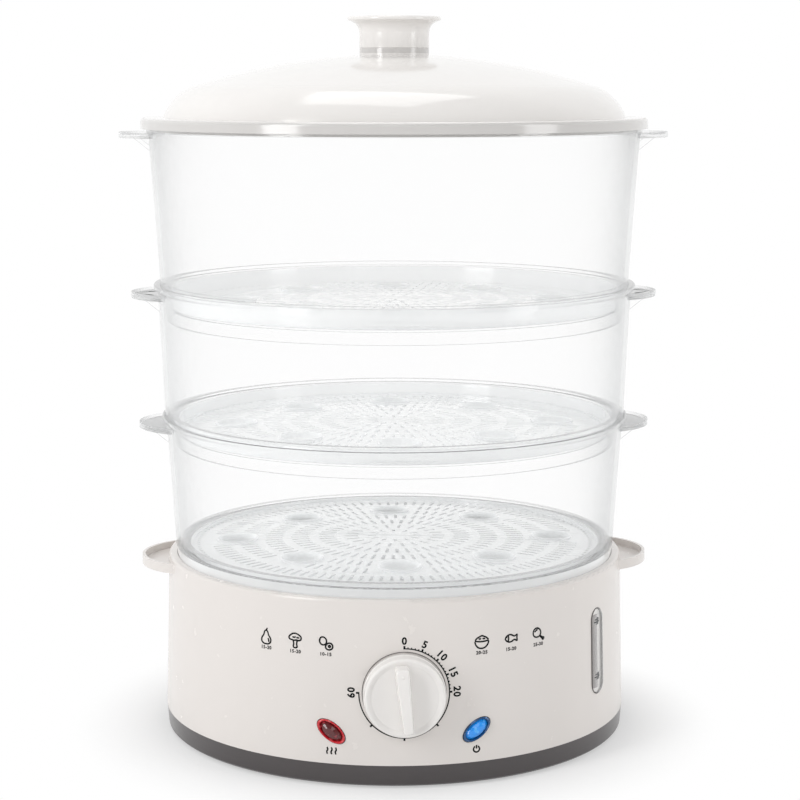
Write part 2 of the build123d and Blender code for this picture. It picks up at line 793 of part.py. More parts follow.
lamp_holder_bottom = lamp_flange_back - lamp_holder_depth
with BuildPart() as lamp_holders:
    for lamp_plane, tilt in lamps:
        with BuildSketch(lamp_plane.offset(lamp_holder_bottom)):
            Circle(lamp_holder_radius)
        extrude(amount=lamp_holder_depth)
        with BuildSketch(lamp_plane.offset(lamp_holder_bottom + lamp_holder_back)):
            Circle(lamp_holder_radius - lamp_holder_wall)
        extrude(amount=lamp_holder_depth, mode=Mode.SUBTRACT)
lamp_holders.part.label = "lamp_holders"
export_step(lamp_holders.part, "parts/lamp_holders.step")

with BuildPart() as lamp_bulbs:
    for lamp_plane, tilt in lamps:
        with BuildSketch(lamp_plane.offset(lamp_holder_bottom + lamp_holder_back)):
            Circle(bulb_radius)
        extrude(amount=bulb_length)
    bulb_tips = lamp_bulbs.edges().filter_by(GeomType.CIRCLE).group_by(Axis.Y)
    fillet(bulb_tips[0], 0.8 * bulb_radius)
lamp_bulbs.part.label = "lamp_bulbs"
export_step(lamp_bulbs.part, "parts/lamp_bulbs.step")

# ---------------------------------------------------------------------------------------------
# Water gauge
# ---------------------------------------------------------------------------------------------

gauge_flange_back = behind_wall - gauge_flange_thickness
gauge_body_length = gauge_length + 2 * gauge_flange_width
gauge_body_width = gauge_width + 2 * gauge_flange_width
with BuildPart() as gauge_window:
    with BuildSketch(gauge_plane.offset(gauge_flange_back)):
        SlotOverall(gauge_body_length, gauge_body_width, rotation=90)
    extrude(amount=gauge_flange_thickness)
    with BuildSketch(gauge_plane.offset(gauge_flange_back)):
        SlotOverall(gauge_length - 2 * snug_gap, gauge_width - 2 * snug_gap, rotation=90)
    extrude(amount=gauge_proud - gauge_flange_back)
gauge_window.part.label = "gauge_window"
export_step(gauge_window.part, "parts/gauge_window.step")

# The chamber starts at the window's lower end and stops under the tank's deck.
gauge_gasket_back = gauge_flange_back - gauge_gasket_thickness
chamber_top = deck_top - tank_wall - 2 * loose_gap - gauge_height
chamber_length = chamber_top + gauge_body_length / 2
chamber_middle = (0, chamber_top - chamber_length / 2)
cavity_length = chamber_length - 2 * gauge_chamber_wall
cavity_width = gauge_body_width - 2 * gauge_chamber_wall
with BuildPart() as gauge_gasket:
    with BuildSketch(gauge_plane.offset(gauge_gasket_back)):
        with Locations(chamber_middle):
            SlotOverall(chamber_length, gauge_body_width, rotation=90)
            SlotOverall(cavity_length, cavity_width, rotation=90, mode=Mode.SUBTRACT)
    extrude(amount=gauge_gasket_thickness)
gauge_gasket.part.label = "gauge_gasket"
export_step(gauge_gasket.part, "parts/gauge_gasket.step")

gauge_chamber_back = gauge_gasket_back - gauge_chamber_depth
spigot_end = basin_outer_radius + gauge_spigot_reach
chamber_back_radius = housing_radius(gauge_pipe_height) + gauge_chamber_back
with BuildPart() as gauge_chamber:
    with BuildSketch(gauge_plane.offset(gauge_chamber_back)):
        with Locations(chamber_middle):
            SlotOverall(chamber_length, gauge_body_width, rotation=90)
    extrude(amount=gauge_chamber_depth)
    with BuildSketch(facing_out(pipe_azimuth, spigot_end, gauge_pipe_height)):
        Circle(gauge_pipe_radius)
    extrude(amount=chamber_back_radius - spigot_end + gauge_chamber_wall)
    with BuildSketch(gauge_plane.offset(gauge_chamber_back + gauge_chamber_wall)):
        with Locations(chamber_middle):
            SlotOverall(cavity_length, cavity_width, rotation=90)
    extrude(amount=gauge_chamber_depth, mode=Mode.SUBTRACT)
    with BuildSketch(facing_out(pipe_azimuth, spigot_end, gauge_pipe_height)):
        Circle(gauge_bore_radius)
    extrude(amount=chamber_back_radius - spigot_end + 2 * gauge_chamber_wall, mode=Mode.SUBTRACT)
gauge_chamber.part.label = "gauge_chamber"
export_step(gauge_chamber.part, "parts/gauge_chamber.step")

# ---------------------------------------------------------------------------------------------
# Cord gland and terminal block
# ---------------------------------------------------------------------------------------------

with BuildPart() as cord_gland:
    with BuildSketch(gland_plane.offset(behind_wall - gland_flange_thickness)):
        Circle(gland_flange_radius)
    extrude(amount=gland_flange_thickness)
    with BuildSketch(gland_plane.offset(behind_wall)):
        Circle(gland_neck_radius)
    extrude(amount=-behind_wall)
    with BuildSketch(gland_plane):
        Circle(gland_flange_radius)
    extrude(amount=gland_flange_thickness)
    with BuildSketch(gland_plane.offset(gland_flange_thickness)):
        Circle(gland_neck_radius)
    with BuildSketch(gland_plane.offset(gland_flange_thickness + gland_nose_length)):
        Circle(gland_nose_radius)
    loft()
    with BuildSketch(gland_plane.offset(behind_wall - gland_flange_thickness)):
        Circle(gland_bore_radius)
    extrude(amount=2 * gland_flange_thickness + gland_nose_length - behind_wall, mode=Mode.SUBTRACT)
cord_gland.part.label = "cord_gland"
export_step(cord_gland.part, "parts/cord_gland.step")

with BuildPart() as terminal_block:
    with BuildSketch(Plane.XY.offset(cover_inside)):
        with Locations((0, terminal_offset)):
            Rectangle(terminal_length, terminal_width)
    extrude(amount=terminal_height)
    chamfer(terminal_block.edges().group_by(Axis.Z)[-1], 0.08 * terminal_height)
    terminal_side = Plane(
        origin=(0, terminal_offset - terminal_width / 2, cover_inside + terminal_height / 2),
        x_dir=(1, 0, 0),
        z_dir=(0, -1, 0),
    )
    with BuildSketch(terminal_side):
        with GridLocations(terminal_bore_pitch, 0, 3, 1):
            Circle(terminal_bore_radius)
    extrude(amount=-terminal_width, mode=Mode.SUBTRACT)
    with BuildSketch(Plane.XY.offset(cover_inside + terminal_height)):
        with Locations((0, terminal_offset)):
            with GridLocations(terminal_bore_pitch, terminal_width / 2, 3, 2):
                Circle(terminal_bore_radius)
    extrude(amount=-terminal_height / 4, mode=Mode.SUBTRACT)
terminal_block.part.label = "terminal_block"
export_step(terminal_block.part, "parts/terminal_block.step")

# ---------------------------------------------------------------------------------------------
# Steam ring and drip tray
# ---------------------------------------------------------------------------------------------

with BuildPart() as steam_ring:
    with BuildSketch(Plane.XY.offset(basin_floor_top)):
        Circle(steam_ring_radius)
        Circle(steam_ring_radius - steam_ring_wall, mode=Mode.SUBTRACT)
    extrude(amount=steam_ring_height)
    with BuildSketch(Plane.XY.offset(basin_floor_top)):
        with PolarLocations(steam_ring_radius, steam_notch_count, 45):
            Rectangle(3 * steam_ring_wall, steam_notch_width)
    extrude(amount=steam_notch_height, mode=Mode.SUBTRACT)
steam_ring.part.label = "steam_ring"
export_step(steam_ring.part, "parts/steam_ring.step")

drip_flange_top = drip_top - drip_flange_drop
drip_inner_radius = drip_rim_radius - drip_rim_wall
drip_dish_bottom = drip_flange_top - drip_dish_depth
drip_slot_path = Edge.make_circle(
    drip_slot_ring, start_angle=-drip_slot_arc / 2, end_angle=drip_slot_arc / 2
)
with BuildPart() as drip_tray:
    with BuildSketch(Plane.XZ):
        with BuildLine():
            Polyline(
                (0, drip_dish_bottom),
                (drip_dish_radius - drip_sheet, drip_dish_bottom),
                (drip_dish_radius, drip_dish_bottom + drip_sheet),
                (drip_dish_radius, drip_flange_top - drip_sheet),
                (drip_inner_radius, drip_flange_top - drip_sheet),
                (drip_inner_radius, ledge_top),
                (drip_rim_radius, ledge_top),
                (drip_rim_radius, drip_top),
                (drip_inner_radius, drip_top),
                (drip_inner_radius, drip_flange_top),
                (drip_dish_radius - drip_sheet, drip_flange_top),
                (drip_dish_radius - drip_sheet, drip_dish_bottom + drip_sheet),
                (0, drip_dish_bottom + drip_sheet),
                close=True,
            )
        make_face()
    revolve(axis=Axis.Z)
    with BuildSketch(Plane.XY.offset(drip_flange_top)):
        with PolarLocations(0, drip_slot_count):
            SlotArc(drip_slot_path, drip_slot_width)
    extrude(amount=-drip_sheet, mode=Mode.SUBTRACT)
drip_tray.part.label = "drip_tray"
export_step(drip_tray.part, "parts/drip_tray.step")

# ---------------------------------------------------------------------------------------------
# Bowls and their floors
# ---------------------------------------------------------------------------------------------


def skirt_inside(tier, drop):
    """Inner radius of a bowl's skirt at a depth below the rim that the bowl stands on."""
    lean = bowl_skirt_draft[tier] * drop / bowl_skirt_depth[tier]
    return bowl_skirt_radius[tier] - lean - bowl_wall


def bowl(tier):
    """A clear bowl: its skirt nests in the rim below, and its own rim takes what stands above."""
    stands_on = bowl_seat[tier]
    seat = bowl_seat[tier + 1]
    skirt_top = bowl_skirt_radius[tier]
    skirt_bottom = skirt_top - bowl_skirt_draft[tier]
    foot = bowl_foot_radius[tier]
    top = bowl_top_radius[tier]
    rim = bowl_rim_radius[tier]
    # The bead stands just outside the next bowl's foot, or under the lid's flange.
    above = bowl_foot_radius[tier + 1] if tier + 1 < len(bowl_height) else rim - bowl_wall - loose_gap
    bead_inner = above + loose_gap
    ledge_top_height = stands_on - floor_ledge_drop[tier]
    ledge_radius = skirt_inside(tier, floor_ledge_drop[tier])
    tab_reach = bowl_tab_reach[tier]
    tab_height = seat - bowl_tab_drop[tier]
    with BuildPart() as piece:
        with BuildSketch(Plane.XZ):
            with BuildLine():
                Polyline(
                    (skirt_bottom, stands_on - bowl_skirt_depth[tier]),
                    (skirt_top, stands_on),
                    (foot, stands_on),
                    (top, seat - bowl_rim_flare),
                    (rim, seat - loose_gap),
                    (rim, seat + bowl_bead_height),
                    (bead_inner, seat + bowl_bead_height),
                    (bead_inner, seat),
                    (top - bowl_wall, seat),
                    (foot - bowl_wall, stands_on + bowl_wall),
                    (skirt_top - bowl_wall, stands_on + bowl_wall),
                    (skirt_bottom - bowl_wall, stands_on - bowl_skirt_depth[tier]),
                    close=True,
                )
            make_face()
        revolve(axis=Axis.Z)
        # A ledge inside the skirt carries the floor.
        with BuildSketch(Plane.XY.offset(ledge_top_height - floor_ledge_thickness)):
            Circle(ledge_radius + bowl_wall / 2)
            Circle(ledge_radius - floor_ledge_width, mode=Mode.SUBTRACT)
        extrude(amount=floor_ledge_thickness)
        # A lifting tab on each side: a half-round plate with a raised edge and two gussets.
        for side in (-1, 1):
            tab_middle = (side * (tab_reach - tab_radius), 0)
            with BuildSketch(Plane.XY.offset(tab_height)):
                with Locations(tab_middle):
                    Circle(tab_radius)
                Circle(top - bowl_wall / 2, mode=Mode.SUBTRACT)
            extrude(amount=-tab_sheet)
            with BuildSketch(Plane.XY.offset(tab_height - tab_sheet)):
                with Locations(tab_middle):
                    Circle(tab_radius)
                    Circle(tab_radius - tab_bead_width, mode=Mode.SUBTRACT)
                Circle(top - bowl_wall / 2, mode=Mode.SUBTRACT)
            extrude(amount=tab_bead_height)
            for gusset_side in (-1, 1):
                gusset_middle = gusset_side * gusset_spread
                gusset_root = math.sqrt(top**2 - gusset_middle**2) - bowl_wall / 2
                with BuildSketch(Plane.XZ.offset(-gusset_middle)):
                    with BuildLine():
                        Polyline(
                            (side * gusset_root, tab_height - tab_sheet),
                            (side * (gusset_root + gusset_reach), tab_height - tab_sheet),
                            (side * gusset_root, tab_height - tab_sheet - gusset_height),
                            close=True,
                        )
                    make_face()
                extrude(amount=gusset_thickness / 2, both=True)
    return piece


def bowl_floor(tier):
    """A lift-out floor: a pierced plate with eight egg cups and a low rim."""
    plate_bottom = bowl_seat[tier] - floor_ledge_drop[tier]
    plate_top = plate_bottom + floor_sheet
    plate_radius = skirt_inside(tier, floor_ledge_drop[tier]) - loose_gap
    rim_height = floor_rim_height[tier]
    cup_step = 360 / egg_cup_count
    cups = []
    for index in range(egg_cup_count):
        on_side = index % (egg_cup_count // 2) == 0
        cups.append((egg_cup_side_ring if on_side else egg_cup_ring, index * cup_step))
    with BuildPart() as piece:
        with BuildSketch(Plane.XY.offset(plate_bottom)):
            Circle(plate_radius)
        extrude(amount=floor_sheet)
        with BuildSketch(Plane.XY.offset(plate_bottom)):
            Circle(plate_radius)
            Circle(plate_radius - floor_rim_wall, mode=Mode.SUBTRACT)
        extrude(amount=floor_sheet + rim_height)
        with BuildSketch(Plane.XY.offset(plate_bottom - egg_cup_depth)):
            for cup_ring, cup_angle in cups:
                with PolarLocations(cup_ring, 1, cup_angle):
                    Circle(egg_cup_radius)
        extrude(amount=egg_cup_depth)
        with BuildSketch(Plane.XY.offset(plate_top - egg_cup_depth)):
            for cup_ring, cup_angle in cups:
                with PolarLocations(cup_ring, 1, cup_angle):
                    Circle(egg_cup_radius - floor_sheet)
        extrude(amount=egg_cup_depth, mode=Mode.SUBTRACT)
        with BuildSketch(Plane.XY.offset(plate_bottom)):
            for ring, length, count in zip(floor_slot_ring, floor_slot_length, floor_slot_count):
                with PolarLocations(ring, count):
                    SlotOverall(length, floor_slot_width)
            with PolarLocations(floor_hole_ring[tier], floor_hole_count):
                Circle(floor_hole_radius)
        extrude(amount=floor_sheet, mode=Mode.SUBTRACT)
        # Finger slots through the front and the back of the rim, where it is high enough.
        if rim_height > 3 * floor_grip_height:
            grip_bottom = plate_top + rim_height - 2 * floor_grip_height
            with BuildSketch(Plane.XY.offset(grip_bottom)):
                with GridLocations(0, 2 * plate_radius, 1, 2):
                    Rectangle(floor_grip_width, 0.25 * floor_grip_width)
            extrude(amount=floor_grip_height, mode=Mode.SUBTRACT)
    return piece


for tier in range(len(bowl_height)):
    bowl_piece = bowl(tier)
    bowl_piece.part.label = f"bowl_{tier + 1}"
    export_step(bowl_piece.part, f"parts/bowl_{tier + 1}.step")
    floor_piece = bowl_floor(tier)
    floor_piece.part.label = f"bowl_floor_{tier + 1}"
    export_step(floor_piece.part, f"parts/bowl_floor_{tier + 1}.step")

# ---------------------------------------------------------------------------------------------
# Lid
# ---------------------------------------------------------------------------------------------

shoulder_top = (lid_shoulder_radius, crown_height(lid_shoulder_radius))
shoulder_lean = math.asin(lid_shoulder_radius / lid_crown_curve)
crown_middle = (lid_shoulder_radius / 2, crown_height(lid_shoulder_radius / 2))
fall = (math.cos(shoulder_lean), -math.sin(shoulder_lean))
inner_shoulder_top = (
    shoulder_top[0] - lid_wall * math.sin(shoulder_lean),
    shoulder_top[1] - lid_wall * math.cos(shoulder_lean),
)
inner_crown_curve = lid_crown_curve - lid_wall
inner_middle_radius = inner_shoulder_top[0] / 2
inner_crown_middle = (
    inner_middle_radius,
    crown_top - lid_crown_curve + math.sqrt(inner_crown_curve**2 - inner_middle_radius**2),
)
# The ring under the lid drops inside the bead of the highest bowl.
lid_ring_radius = bowl_rim_radius[-1] - bowl_wall - lid_ring_gap
with BuildPart() as lid:
    with BuildSketch(Plane.XZ):
        with BuildLine():
            ThreePointArc((0, crown_top), crown_middle, shoulder_top)
            TangentArc(shoulder_top, (lid_dome_radius, flange_top), tangent=fall)
            Polyline(
                (lid_dome_radius, flange_top),
                (lid_flange_radius, flange_top),
                (lid_flange_radius, lid_bottom),
                (lid_ring_radius, lid_bottom),
                (lid_ring_radius, lid_bottom - lid_ring_depth),
                (lid_ring_radius - lid_ring_wall, lid_bottom - lid_ring_depth),
                (lid_ring_radius - lid_ring_wall, flange_top - lid_wall),
                (lid_dome_radius - lid_wall, flange_top - lid_wall),
            )
            TangentArc(inner_shoulder_top, (lid_dome_radius - lid_wall, flange_top - lid_wall), tangent=fall)
            ThreePointArc((0, crown_top - lid_wall), inner_crown_middle, inner_shoulder_top)
            Line((0, crown_top - lid_wall), (0, crown_top))
        make_face()
    revolve(axis=Axis.Z)
    flange_edges = lid.edges().filter_by(GeomType.CIRCLE).sort_by(SortBy.RADIUS)
    flange_corner = flange_edges.filter_by_position(Axis.Z, flange_top - 0.01, flange_top + 0.01)[-1]
    fillet(flange_corner, lid_flange_edge)
    # A raised seat for the knob, hollow underneath.
    with BuildSketch(Plane.XY.offset(crown_top - lid_wall)):
        Circle(lid_seat_radius)
    extrude(amount=knob_seat - crown_top + lid_wall)
    with BuildSketch(Plane.XY.offset(knob_seat - lid_seat_sheet)):
        Circle(lid_seat_radius - lid_wall)
    extrude(amount=-(lid_seat_height + lid_wall), mode=Mode.SUBTRACT)
    with BuildSketch(Plane.XY.offset(knob_seat)):
        Circle(screw_shank_radius + loose_gap)
    extrude(amount=-lid_seat_sheet, mode=Mode.SUBTRACT)
lid.part.label = "lid"
export_step(lid.part, "parts/lid.step")

knob_top = knob_seat + lid_knob_height
flare_start = knob_seat + lid_knob_stem_height
flare_end = knob_top - lid_knob_rim_height
flare_waist = (
    lid_seat_radius + 0.25 * (lid_knob_rim_radius - lid_seat_radius),
    flare_start + 0.6 * (flare_end - flare_start),
)
with BuildPart() as lid_knob:
    with BuildSketch(Plane.XZ):
        with BuildLine():
            Line((0, knob_seat), (lid_seat_radius, knob_seat))
            Line((lid_seat_radius, knob_seat), (lid_seat_radius, flare_start))
            ThreePointArc((lid_seat_radius, flare_start), flare_waist, (lid_knob_rim_radius, flare_end))
            Polyline(
                (lid_knob_rim_radius, flare_end),
                (lid_knob_rim_radius, knob_top),
                (0, knob_top),
                (0, knob_seat),
            )
        make_face()
    revolve(axis=Axis.Z)
    fillet(lid_knob.faces().sort_by(Axis.Z)[-1].edges(), 0.4 * lid_knob_rim_height)
    with BuildSketch(Plane.XY.offset(knob_seat)):
        Circle(lid_seat_radius - lid_knob_wall)
        Circle(lid_knob_post_radius, mode=Mode.SUBTRACT)
    extrude(amount=lid_knob_cavity_depth, mode=Mode.SUBTRACT)
    with BuildSketch(Plane.XY.offset(knob_seat)):
        Circle(screw_shank_radius + running_gap)
    extrude(amount=knob_screw_length - lid_seat_sheet + loose_gap, mode=Mode.SUBTRACT)
lid_knob.part.label = "lid_knob"
export_step(lid_knob.part, "parts/lid_knob.step")

with BuildPart() as lid_knob_screw:
    with BuildSketch(Plane.XY.offset(knob_seat - lid_seat_sheet - screw_head_height)):
        Circle(screw_head_radius)
    extrude(amount=screw_head_height)
    with BuildSketch(Plane.XY.offset(knob_seat - lid_seat_sheet)):
        Circle(screw_shank_radius)
    extrude(amount=knob_screw_length)
lid_knob_screw.part.label = "lid_knob_screw"
export_step(lid_knob_screw.part, "parts/lid_knob_screw.step")
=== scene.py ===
import json
import math
from collections import namedtuple

import bmesh
import bpy
from bpy.props import FloatProperty, FloatVectorProperty, IntProperty, PointerProperty
from bpy.types import Operator, Panel, PropertyGroup
from mathutils import Matrix, Vector

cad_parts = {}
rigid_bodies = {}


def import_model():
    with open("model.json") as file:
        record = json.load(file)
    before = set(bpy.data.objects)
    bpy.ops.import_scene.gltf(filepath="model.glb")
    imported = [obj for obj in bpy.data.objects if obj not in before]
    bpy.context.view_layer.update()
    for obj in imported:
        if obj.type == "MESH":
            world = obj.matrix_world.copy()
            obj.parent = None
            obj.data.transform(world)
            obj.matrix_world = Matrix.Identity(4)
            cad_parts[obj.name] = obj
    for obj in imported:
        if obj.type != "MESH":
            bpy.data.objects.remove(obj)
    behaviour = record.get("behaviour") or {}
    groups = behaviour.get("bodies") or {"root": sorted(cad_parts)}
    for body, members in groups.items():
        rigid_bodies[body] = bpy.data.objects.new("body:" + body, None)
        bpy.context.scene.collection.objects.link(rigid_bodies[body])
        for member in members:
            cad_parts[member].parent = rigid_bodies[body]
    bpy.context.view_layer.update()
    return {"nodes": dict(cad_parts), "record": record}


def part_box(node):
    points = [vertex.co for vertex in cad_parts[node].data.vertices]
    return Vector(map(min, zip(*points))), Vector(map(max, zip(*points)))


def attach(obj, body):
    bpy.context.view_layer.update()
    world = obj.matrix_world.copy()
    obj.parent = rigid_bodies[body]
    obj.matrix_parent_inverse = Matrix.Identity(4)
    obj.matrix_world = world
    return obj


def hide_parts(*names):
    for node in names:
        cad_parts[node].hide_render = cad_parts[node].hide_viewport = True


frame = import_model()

bl_info = {
    "name": "Electric food steamer",
    "version": (1, 0, 0),
    "blender": (4, 5, 0),
    "location": "View3D > Sidebar > Steamer",
    "description": "Dresses the solid model of a three-tier electric food steamer",
    "category": "Add Mesh",
}

MM = 0.001

# Places that the solid model settles, in metres
housing_low, housing_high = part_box("base_housing")
wall_foot_radius = housing_high.x
wall_foot = housing_low.z
wall_lean = math.atan2(2.0 * MM, housing_high.z - housing_low.z)
dial_low, dial_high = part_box("timer_dial")
dial_centre = Vector((0.0, dial_high.y, (dial_low.z + dial_high.z) / 2))
dial_radius = (dial_high.x - dial_low.x) / 2
knob_low, knob_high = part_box("lid_knob")

# Heights of the lid's flange and of its knob's seat, below and above which the lid is painted with shade, and
# the distance at which points are merged
LID_FLANGE = 318.9 * MM
LID_SEAT = 351.3 * MM
MERGE = 0.002 * MM
EVEN = (1.0, 1.0, 1.0)
TIERS = (1, 2, 3)


# ---- Sizes and colours that a user may change ----


def length(name, description, default):
    """A length for the user to set."""
    return FloatProperty(
        name=name, description=description, default=default, min=0.0, unit="LENGTH", precision=5
    )


def hue(name, description, default):
    """A colour for the user to set, as linear values."""
    return FloatVectorProperty(
        name=name, description=description, default=default, size=3, subtype="COLOR", min=0.0, max=1.0
    )


class SteamerSizes(PropertyGroup):
    """Sizes of what is modelled on top of the solid model."""

    edge: length("Edge rounding", "Radius of the rounded edges of the clear bowls", 0.55 * MM)
    slot_width: length("Steam slot width", "Width of the steam slots in the bowl floors", 1.9 * MM)
    hole_radius: length("Rim hole radius", "Radius of the small holes round a bowl floor", 1.15 * MM)
    hole_count: IntProperty(
        name="Rim holes", description="Number of small holes round a bowl floor", default=138, min=12
    )
    floor_crown: length("Floor crown", "How far the middle of a bowl floor is raised", 2.2 * MM)
    ink_line: length("Printed line", "Width of the printed lines", 0.6 * MM)


class SteamerColours(PropertyGroup):
    """Colours of the plastics and the print."""

    white: hue("Base white", "Moulded plastic of the base", (0.775, 0.735, 0.705))
    lid: hue("Lid white", "Glossy plastic of the lid and the knobs", (0.80, 0.78, 0.76))
    band: hue("Foot band", "Dark plastic of the bottom cover", (0.060, 0.052, 0.053))
    clear: hue("Clear plastic", "Tint of the clear plastic at its edges", (0.86, 0.87, 0.875))
    red: hue("Red lamp", "Rim of the left-hand lamp, with a darker middle", (0.60, 0.012, 0.022))
    blue: hue("Blue lamp", "Middle of the right-hand lamp, with a darker rim", (0.012, 0.29, 0.88))
    ink: hue("Print", "Printed scale and pictograms", (0.007, 0.009, 0.009))


# ---- Materials ----


class Shade:
    """A shader socket that turns Python maths into nodes."""

    def __init__(self, look, socket):
        self.look = look
        self.socket = socket

    def maths(self, operation, first, second):
        return self.look.node("ShaderNodeMath", {"operation": operation}, {0: first, 1: second})

    def __add__(self, other):
        return self.maths("ADD", self, other)

    def __sub__(self, other):
        return self.maths("SUBTRACT", self, other)

    def __rsub__(self, other):
        return self.maths("SUBTRACT", other, self)

    def __mul__(self, other):
        return self.maths("MULTIPLY", self, other)

    def __pow__(self, other):
        return self.maths("POWER", self, other)

    __radd__ = __add__
    __rmul__ = __mul__


class Look:
    """One material or world and the nodes that make it."""

    def __init__(self, owner):
        self.owner = owner
        owner.use_nodes = True
        self.tree = owner.node_tree
        self.tree.nodes.clear()

    def node(self, kind, settings, sockets, output=0):
        """Add a node, set it up, feed its sockets and give back one of its outputs."""
        made = self.tree.nodes.new(kind)
        for name, value in settings.items():
            setattr(made, name, value)
        for name, value in sockets.items():
            if isinstance(value, Shade):
                self.tree.links.new(value.socket, made.inputs[name])
            else:
                made.inputs[name].default_value = value
        return Shade(self, made.outputs[output]) if made.outputs else None

    def place(self, stretch=EVEN):
        """Object coordinates, stretched about the origin."""
        point = self.node("ShaderNodeTexCoord", {}, {}, "Object")
        return self.node("ShaderNodeMapping", {}, {"Vector": point, "Scale": stretch})

    def noise(self, scale, detail=2.0, stretch=EVEN):
        """Noise from 0 to 1, with scale as the number of lumps in a metre."""
        sockets = {"Vector": self.place(stretch), "Scale": scale, "Detail": detail}
        return self.node("ShaderNodeTexNoise", {}, sockets)

    def range(self, value, low, high, to_low=0.0, to_high=1.0):
        """A value remapped smoothly from one range to another."""
        return self.node(
            "ShaderNodeMapRange",
            {"interpolation_type": "SMOOTHSTEP"},
            {"Value": value, "From Min": low, "From Max": high, "To Min": to_low, "To Max": to_high},
        )

    def blend(self, factor, first, second):
        """A mix of two colours."""
        return self.node(
            "ShaderNodeMix", {"data_type": "RGBA"}, {0: factor, 6: colour(first), 7: colour(second)}, 2
        )

    def size_of(self, value):
        """A value without its sign."""
        return self.node("ShaderNodeMath", {"operation": "ABSOLUTE"}, {0: value})

    def bump(self, height, distance):
        """A normal for a relief that is so many metres deep."""
        sockets = {"Height": height, "Distance": distance, "Strength": 1.0}
        return self.node("ShaderNodeBump", {}, sockets)

    def plastic(self, **sockets):
        """A Principled shader. Socket names are written with underscores."""
        named = {}
        for name, value in sockets.items():
            named[name.replace("_", " ").title().replace("Ior", "IOR")] = value
        return self.node("ShaderNodeBsdfPrincipled", {}, named)

    def seen(self, *sides):
        """One for a ray that shows a background, and nothing for a ray that lights a surface."""
        total = 0.0
        for side in sides or ("Is Camera Ray", "Is Glossy Ray", "Is Transmission Ray"):
            total = self.node("ShaderNodeLightPath", {}, {}, side) + total
        return self.range(total, 0.0, 1.0)

    def finish(self, shader):
        self.node("ShaderNodeOutputMaterial", {}, {"Surface": shader})
        return self.owner


def colour(value):
    """A colour socket's value, with alpha added where it has none."""
    if isinstance(value, Shade):
        return value
    return tuple(value[:3]) + (1.0,)


def scaled(value, share):
    """A colour made darker or lighter by one share."""
    return tuple(min(1.0, channel * share) for channel in value[:3])


def new_look(name):
    """A look to fill in, which takes over the solid model's plain material of the same name."""
    return Look(bpy.data.materials.get(name) or bpy.data.materials.new(name))


def moulded(name, base, roughness, grain=0.012, coat=0.15, skirt=None):
    """Moulded plastic: faint flow mottling, an eroded grain and slightly uneven gloss.

    A skirt is two heights and the share of the colour left below the first and above the second: painted
    shade on the parts outside that band."""
    look = new_look(name)
    flow = look.noise(22.0, 3.0, (1.0, 1.0, 0.35))
    grit = look.noise(2600.0, 2.0)
    cloud = look.noise(140.0, 4.0)
    tint = look.blend(flow, scaled(base, 0.975), scaled(base, 1.02))
    tint = look.blend(look.range(grit, 0.3, 0.7, 0.0, 0.35), tint, scaled(base, 0.985))
    # Painted shade: outside the skirt's two heights the colour is darkened to its share
    if skirt:
        upright = look.node("ShaderNodeSeparateXYZ", {}, {"Vector": look.place()}, "Z")
        low, high, share = skirt
        below = look.range(upright, high - 0.1 * MM, high + 0.3 * MM, 1.0, 0.0)
        above = look.range(upright, low - 0.5 * MM, low + 0.1 * MM)
        tint = look.blend(above * below, scaled(base, share), tint)
    return look.finish(
        look.plastic(
            base_color=tint,
            roughness=roughness - 0.035 + cloud * 0.07,
            normal=look.bump(grit + cloud * 0.6, grain * MM),
            coat_weight=coat,
            coat_roughness=0.08,
            ior=1.5,
        )
    )


def clear(name, tint, face, edge, power, line=0.4, roughness=0.06, haze=0.0, coat=0.0, painted_light=0.0):
    """Clear plastic: nearly nothing where it faces the eye, paler towards its upright sides, and a grey
    line along a level rim or ledge that is seen at a slant. The painted_light strength is painted light: the
    plastic emits its own tint, though it is no lamp."""
    look = new_look(name)
    facing = look.node("ShaderNodeLayerWeight", {}, {"Blend": 0.5}, "Facing")
    normal = look.node("ShaderNodeNewGeometry", {}, {}, "Normal")
    upward = look.node("ShaderNodeSeparateXYZ", {}, {"Vector": normal}, "Z")
    level = look.size_of(upward) * look.range(facing, 0.45, 0.85)
    cloud = look.noise(30.0, 2.0)
    scuff = look.noise(900.0, 3.0)
    cover = facing ** power * (edge - face) + level * (0.5 * line) + (face + haze * cloud)
    body = look.blend(level, tint, scaled(tint, 1.0 - line))
    body = look.blend(scuff * 0.12, body, scaled(tint, 0.93))
    shell = look.plastic(
        base_color=body,
        roughness=roughness + scuff * 0.05,
        normal=look.bump(scuff, 0.004 * MM),
        coat_weight=coat,
        # Painted light: the plastic emits its tint by the painted_light strength
        emission_color=colour(tint),
        emission_strength=painted_light,
        ior=1.49,
    )
    air = look.node("ShaderNodeBsdfTransparent", {}, {"Color": (1.0, 1.0, 1.0, 1.0)})
    return look.finish(look.node("ShaderNodeMixShader", {}, {0: cover, 1: air, 2: shell}))


def metal(name, base, roughness, stretch, scale=400.0, grain=0.02):
    """Bare metal with drawn or cast texture."""
    look = new_look(name)
    lines = look.noise(scale, 4.0, stretch)
    stain = look.noise(60.0, 4.0)
    tint = look.blend(look.range(stain, 0.35, 0.75), scaled(base, 0.82), scaled(base, 1.08))
    return look.finish(
        look.plastic(
            base_color=tint,
            metallic=1.0,
            roughness=roughness + lines * 0.18,
            normal=look.bump(lines, grain * MM),
        )
    )


def soft_rubber(name, base):
    """Rubber or silicone: matt, slightly dusty, with a fine skin."""
    look = new_look(name)
    skin = look.noise(1800.0, 3.0)
    dust = look.noise(45.0, 4.0)
    tint = look.blend(look.range(dust, 0.45, 0.8, 0.0, 0.5), base, scaled(base, 1.7))
    return look.finish(
        look.plastic(base_color=tint, roughness=0.62 + dust * 0.2, normal=look.bump(skin, 0.05 * MM))
    )


